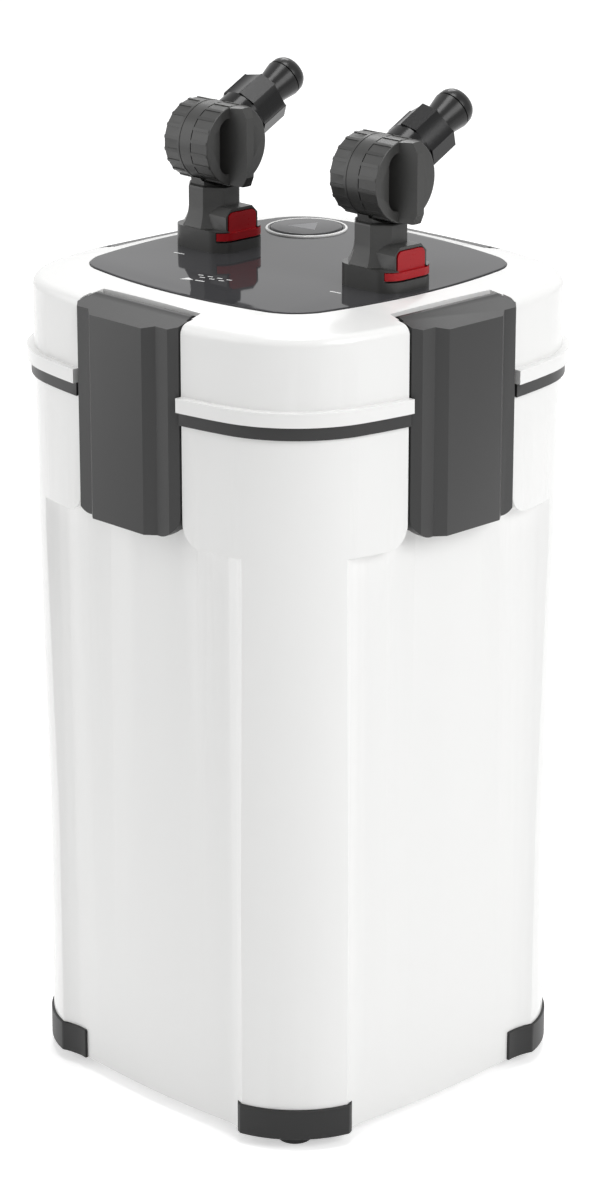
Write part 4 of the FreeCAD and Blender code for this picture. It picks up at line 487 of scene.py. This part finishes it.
def foot_arms():
    """The two side feet reach further along the faces in view: a low arm on each carries on along the wall."""
    low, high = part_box("foot_front_left")
    inner = -96.8
    outer = ((-64.0, -100.75), (-61.5, -99.9), (-58.5, -99.3), (-55.0, -98.9), (-52.0, -98.75), (-48.5, -99.15))
    front = outer + ((outer[-1][0], inner), (outer[0][0], inner))
    for corner, outline in (("front_left", front), ("back_right", tuple((-y, -x) for x, y in front))):
        bm = bmesh.new()
        add_plate(bm, outline, low[2] / MM, high[2] / MM)
        bmesh.ops.recalc_face_normals(bm, faces=bm.faces)
        arm = new_piece("foot_arm_" + corner, bm, "filter", "foot_grey")
        round_edges(arm, 0.6)


class FILTER_OT_head(bpy.types.Operator):
    """Finish the head cover, its band, the top panel and the cable gland"""

    bl_idname = "canister_filter.head"
    bl_label = "Head, band and panel"

    def execute(self, context):
        softened("head_cover", settings().shell_edge / MM)
        softened("head_base", 0.4)
        softened("top_panel", 0.4)
        softened("cable_gland", 0.4)
        for node in ("head_seal", "head_screws"):
            dress(node)
        panel_marks()
        return {"FINISHED"}


def panel_marks():
    """Generic ink marks: a dash before each tap, two rows of short strokes and a small arrow."""
    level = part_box("top_panel")[1][2] / MM
    ink = (level - INK_SINK, level + INK_RISE)
    line = 0.9
    dashes = ((-52.0, -28.0), (54.6, -29.4))
    rows = ((4, -12.4, -50.6), (3, -8.6, -53.2))
    head, tail = ((-8.0, -59.6), (-13.6, -62.8), (-12.6, -58.0)), (-4.6, -58.6)
    bm = bmesh.new()
    for middle in dashes:
        add_plate(bm, strip(middle, 6.2, line, 8), *ink)
    for count, x, y in rows:
        for step in range(count):
            add_plate(bm, strip((x + 5.4 * step, y + 0.9 * step), 2.6, line, 20), *ink)
    add_plate(bm, head, *ink)
    add_plate(bm, strip(tail, 5.0, line, 12), *ink)
    bmesh.ops.recalc_face_normals(bm, faces=bm.faces)
    new_piece("panel_marks", bm, "filter", "panel_gloss", screen_ink)


class FILTER_OT_latches(bpy.types.Operator):
    """Finish the four latches and their pins"""

    bl_idname = "canister_filter.latches"
    bl_label = "Latches"

    def execute(self, context):
        for side in SIDES:
            softened("latch_" + side, settings().latch_edge / MM, 4)
        dress("latch_pins")
        return {"FINISHED"}


class FILTER_OT_primer(bpy.types.Operator):
    """Finish the priming button and the pump under it"""

    bl_idname = "canister_filter.primer"
    bl_label = "Priming button"

    def execute(self, context):
        bezel()
        softened("primer_button", 0.5)
        for node in ("primer_cylinder", "primer_piston", "piston_seal"):
            dress(node)
        return_spring()
        button_mark()
        return {"FINISHED"}


def bezel():
    """The ring round the button: a thin white rim outside a dark collar that the button sinks into."""
    low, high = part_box("primer_bezel")
    middle = (Vector(low) + Vector(high)) / 2
    place = Matrix.Translation((middle.x, middle.y, 0))
    under, top = low[2] / MM, high[2] / MM
    outer = (high[0] - middle.x) / MM
    rim = outer - 1.1
    play = 0.15
    bore = (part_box("primer_button")[1][0] - middle.x) / MM + play
    bm = bmesh.new()
    add_round(bm, ((rim, top - 1.2), (outer, top - 1.2), (outer, top - 0.3), (outer - 0.3, top),
                   (rim + 0.2, top), (rim, top - 0.2)), 96)
    piece = new_piece("bezel_rim", placed(bm, place), "filter", "shell_white")
    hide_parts("primer_bezel")
    bm = bmesh.new()
    add_round(bm, ((bore, under), (rim, under), (rim, top - 0.15), (bore + 0.5, top - 0.15), (bore, top - 0.6)), 96)
    new_piece("bezel_collar", placed(bm, place), "filter", "button_grey")


def return_spring():
    """The return spring under the piston: a merged copy of the coil in steel, with a mesh of its own, kept at one
    length.
    """
    bm = bmesh.new()
    bm.from_mesh(frame["nodes"]["primer_spring"].data)
    bmesh.ops.remove_doubles(bm, verts=bm.verts, dist=WELD * MM)
    piece = new_piece("primer_spring_coil", bm, "filter", "pin_steel")
    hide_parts("primer_spring")
    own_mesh(piece)


def button_mark():
    """A plain triangle printed on the button, pointing back."""
    low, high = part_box("primer_button")
    middle = (Vector(low) + Vector(high)) / 2
    level = high[2] / MM
    reach = 9.5
    bm = bmesh.new()
    around = [(math.cos(math.radians(a)), math.sin(math.radians(a))) for a in (100, 220, 340)]
    points = [(middle.x / MM + reach * x, middle.y / MM + reach * y) for x, y in around]
    add_plate(bm, points, level - INK_SINK, level + 0.03)
    bmesh.ops.recalc_face_normals(bm, faces=bm.faces)
    new_piece("button_mark", bm, "primer", "button_grey", grey_ink)


class FILTER_OT_taps(bpy.types.Operator):
    """Finish both taps"""

    bl_idname = "canister_filter.taps"
    bl_label = "Taps"

    def execute(self, context):
        edge = settings().tap_edge / MM
        widths = {"tap_base": edge, "release": edge * 0.8, "valve_housing": edge * 0.3, "rear_cap": edge * 0.3,
                  "valve_knob": edge * 0.5}
        for port, turn in NUT_TURNS.items():
            for name, width in widths.items():
                softened(port + "_" + name, width)
            hose_nut(port, turn)
            stub_collar(port)
            hose_barb(port)
            for name in ("valve_plug", "stub_seal"):
                dress(port + "_" + name)
        dress("port_seals")
        return {"FINISHED"}


def hose_nut(port, turn):
    """Hose nut: four raised grip pads between four flats, over a skirt whose foot follows the drum."""
    low, high = 22.0, 37.8
    skirt, skirt_bore, thread_bore, barb_bore = 12.6, 11.5, 10.4, 8.1
    ledge, under = 30.7, 20.6
    corners = ((11.95, -4.6), (12.95, -4.25), (12.95, 4.25), (11.95, 4.6))
    flat = []
    for quarter in range(4):
        angle = math.radians(turn + 90 * quarter)
        flat += [(x * math.cos(angle) - y * math.sin(angle), x * math.sin(angle) + y * math.cos(angle))
                 for x, y in corners]

    def saddle(x, y):
        return math.sqrt(DRUM_CLEAR ** 2 - y ** 2)

    bm = bmesh.new()
    add_tube(bm, (circle(skirt_bore, saddle), circle(skirt, saddle), circle(skirt, low),
                  [(x, y, low) for x, y in flat], [(x, y, high) for x, y in flat], circle(barb_bore, high),
                  circle(barb_bore, ledge), circle(thread_bore, ledge), circle(thread_bore, under),
                  circle(skirt_bore, under)))
    piece = new_piece(port + "_hose_nut_gripped", placed(bm, hose_place(port)), port + "_swivel", "nut_black")
    round_edges(piece, 0.45)
    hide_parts(port + "_hose_nut")


def stub_collar(port):
    """Collar that fills the corner between the tap's neck and the drum over it, clear of the turning knob."""
    inner, bottom, top = 5.0, 10.5, 10.9
    neck_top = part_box(port + "_tap_base")[1][2] / MM
    drum_level = hose_place(port).translation.z / MM
    middle = hose_place(port).translation * Vector((1, 1, 0))

    def octagon(half, height):
        around = [2 * math.pi * i / 64 for i in range(64)]
        reach = [half / math.cos((a + math.pi / 8) % (math.pi / 4) - math.pi / 8) for a in around]
        flat = [(r * math.cos(a), r * math.sin(a)) for r, a in zip(reach, around)]
        return [(x, y, height(x, y)) for x, y in flat]

    def foot(x, y):
        return neck_top + 0.08

    def under_drum(x, y):
        radius = DRUM_CLEAR if x < KNOB_BACK - 1 else KNOB_CLEAR
        return max(neck_top + 0.16, drum_level - math.sqrt(radius ** 2 - y ** 2))

    bm = bmesh.new()
    add_tube(bm, (octagon(inner, foot), octagon(bottom, foot), octagon(top, under_drum), octagon(inner, under_drum)))
    new_piece(port + "_stub_collar", placed(bm, Matrix.Translation(middle)), port + "_swivel", "tap_grey")


def hose_barb(port):
    """Hose barb: a waist that flares to a lip, a sharp groove and a rounded collar."""
    profile = ((6.2, 28.0), (7.8, 28.0), (7.8, 42.4), (9.5, 51.2), (9.5, 51.5), (7.8, 51.5), (7.8, 52.2),
               (9.35, 52.2), (9.4, 52.6), (9.2, 55.0), (8.9, 55.9), (8.4, 56.9), (7.8, 57.8), (7.3, 58.3),
               (6.6, 58.3), (6.2, 57.9))
    bm = bmesh.new()
    add_round(bm, profile)
    piece = new_piece(port + "_hose_barb_turned", placed(bm, hose_place(port)), port + "_swivel", "tap_grey",
                      barb_nylon)
    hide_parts(port + "_hose_barb")


class FILTER_OT_inside(bpy.types.Operator):
    """Finish the pump, the pipes, the baskets and the media"""

    bl_idname = "canister_filter.inside"
    bl_label = "Pump and media"

    def execute(self, context):
        for node in ("pump_housing", "rotor_shaft", "shaft_bushes", "rotor_magnet", "impeller", "impeller_cover",
                     "motor_core", "motor_coil", "down_tube", "basket_lower", "basket_middle", "basket_upper",
                     "coarse_sponge", "ceramic_media", "filter_floss"):
            dress(node)
        return {"FINISHED"}


class FILTER_OT_stage(bpy.types.Operator):
    """Set up the floor, the lights and the camera"""

    bl_idname = "canister_filter.stage"
    bl_label = "Stage"

    def execute(self, context):
        make_floor()
        make_lights()
        make_world()
        make_camera()
        context.scene.view_settings.view_transform = "Standard"
        return {"FINISHED"}


def seen_directly(tree):
    """One for rays from the camera, or by way of a mirror or glass, and nothing for light that spreads."""
    path = add(tree, "ShaderNodeLightPath")
    total = path.outputs["Is Camera Ray"]
    for name in ("Is Glossy Ray", "Is Transmission Ray"):
        both = add(tree, "ShaderNodeMath", {"operation": "MAXIMUM"})
        tree.links.new(total, both.inputs[0])
        tree.links.new(path.outputs[name], both.inputs[1])
        total = both.outputs["Value"]
    return total


def make_floor():
    """A white floor that keeps the filter's shadow: where it is seen, a little light of its own whitens it."""
    bm = bmesh.new()
    bmesh.ops.create_grid(bm, x_segments=1, y_segments=1, size=8.0)
    mesh = bpy.data.meshes.new("floor")
    bm.to_mesh(mesh)
    bm.free()
    floor = bpy.data.objects.new("floor", mesh)
    bpy.context.scene.collection.objects.link(floor)
    floor.location.z = -0.0002
    material, tree, shader, place = new_material("painted_studio_floor", {
        "Base Color": linear(settings().floor), "Roughness": 0.7, "Specular IOR Level": 0.0})
    speckle = add(tree, "ShaderNodeTexNoise", {"Scale": 40.0}, {"Vector": place})
    bump = add(tree, "ShaderNodeBump", {"Distance": 0.05 * MM}, {"Height": speckle.outputs["Fac"]})
    tree.links.new(bump.outputs["Normal"], shader.inputs["Normal"])
    glow = add(tree, "ShaderNodeMath", {"operation": "MULTIPLY"})
    tree.links.new(seen_directly(tree), glow.inputs[0])
    glow.inputs[1].default_value = 0.5
    tree.links.new(glow.outputs["Value"], shader.inputs["Emission Strength"])
    shader.inputs["Emission Color"].default_value = linear("#ffffff")
    mesh.materials.append(material)


def make_lights():
    """Four round soft lamps: name, place, width in metres and power in watts. All face the filter's middle."""
    aim = Vector((0, 0, 0.25))
    lamps = (
        ("key", (2.4, 0.2, 1.7), 1.6, 36.0),
        ("fill", (-2.0, -2.2, 1.2), 3.2, 34.0),
        ("top", (0.0, 0.0, 3.0), 1.2, 30.0),
        ("back", (-1.75, 1.75, 2.6), 1.3, 22.0),
    )
    for name, place, size, power in lamps:
        data = bpy.data.lights.new(name, "AREA")
        data.shape = "DISK"
        data.size = size
        data.energy = power
        lamp = bpy.data.objects.new(name, data)
        lamp.location = place
        lamp.rotation_mode = "QUATERNION"
        lamp.rotation_quaternion = (aim - Vector(place)).to_track_quat("-Z", "Y")
        bpy.context.scene.collection.objects.link(lamp)


def make_world():
    """An even white room: plain soft light on the filter, and full white where it is seen or mirrored."""
    world = bpy.data.worlds.new("studio")
    bpy.context.scene.world = world
    world.use_nodes = True
    tree = world.node_tree
    tree.nodes.clear()
    light = add(tree, "ShaderNodeBackground", {"Color": linear("#ffffff"), "Strength": 0.33})
    white = add(tree, "ShaderNodeBackground", {"Color": linear("#ffffff"), "Strength": 1.0})
    mix = add(tree, "ShaderNodeMixShader", links={"Fac": seen_directly(tree)})
    tree.links.new(light.outputs["Background"], mix.inputs[1])
    tree.links.new(white.outputs["Background"], mix.inputs[2])
    add(tree, "ShaderNodeOutputWorld", links={"Surface": mix.outputs["Shader"]})


def make_camera():
    data = bpy.data.cameras.new("camera")
    data.sensor_width = 36.0
    data.lens = settings().lens
    data.clip_start, data.clip_end = 0.05, 50.0
    camera = bpy.data.objects.new("camera", data)
    # Where the photograph was taken from, fitted to the shell's edges: 45.8 degrees round, 18.5 down.
    camera.location = (1.2249, -1.1923, 0.8049)
    camera.rotation_mode = "QUATERNION"
    camera.rotation_quaternion = Vector((-0.6795, 0.6614, -0.3174)).to_track_quat("-Z", "Y")
    bpy.context.scene.collection.objects.link(camera)
    bpy.context.scene.camera = camera


class FILTER_PT_panel(bpy.types.Panel):
    bl_idname = "FILTER_PT_panel"
    bl_label = "Canister filter"
    bl_space_type = "VIEW_3D"
    bl_region_type = "UI"
    bl_category = "Filter"

    def draw(self, context):
        layout = self.layout
        for name in FilterSettings.__annotations__:
            layout.prop(context.scene.canister_filter, name)
        for operator in OPERATORS:
            layout.operator(operator.bl_idname)


OPERATORS = (FILTER_OT_canister, FILTER_OT_head, FILTER_OT_latches, FILTER_OT_primer, FILTER_OT_taps,
             FILTER_OT_inside, FILTER_OT_stage)
CLASSES = (FilterSettings, *OPERATORS, FILTER_PT_panel)


def register():
    for each in CLASSES:
        bpy.utils.register_class(each)
    bpy.types.Scene.canister_filter = PointerProperty(type=FilterSettings)


def unregister():
    del bpy.types.Scene.canister_filter
    for each in reversed(CLASSES):
        bpy.utils.unregister_class(each)


def main():
    register()
    bpy.ops.canister_filter.canister()
    bpy.ops.canister_filter.head()
    bpy.ops.canister_filter.latches()
    bpy.ops.canister_filter.primer()
    bpy.ops.canister_filter.taps()
    bpy.ops.canister_filter.inside()
    bpy.ops.canister_filter.stage()


if __name__ == "__main__":
    main()
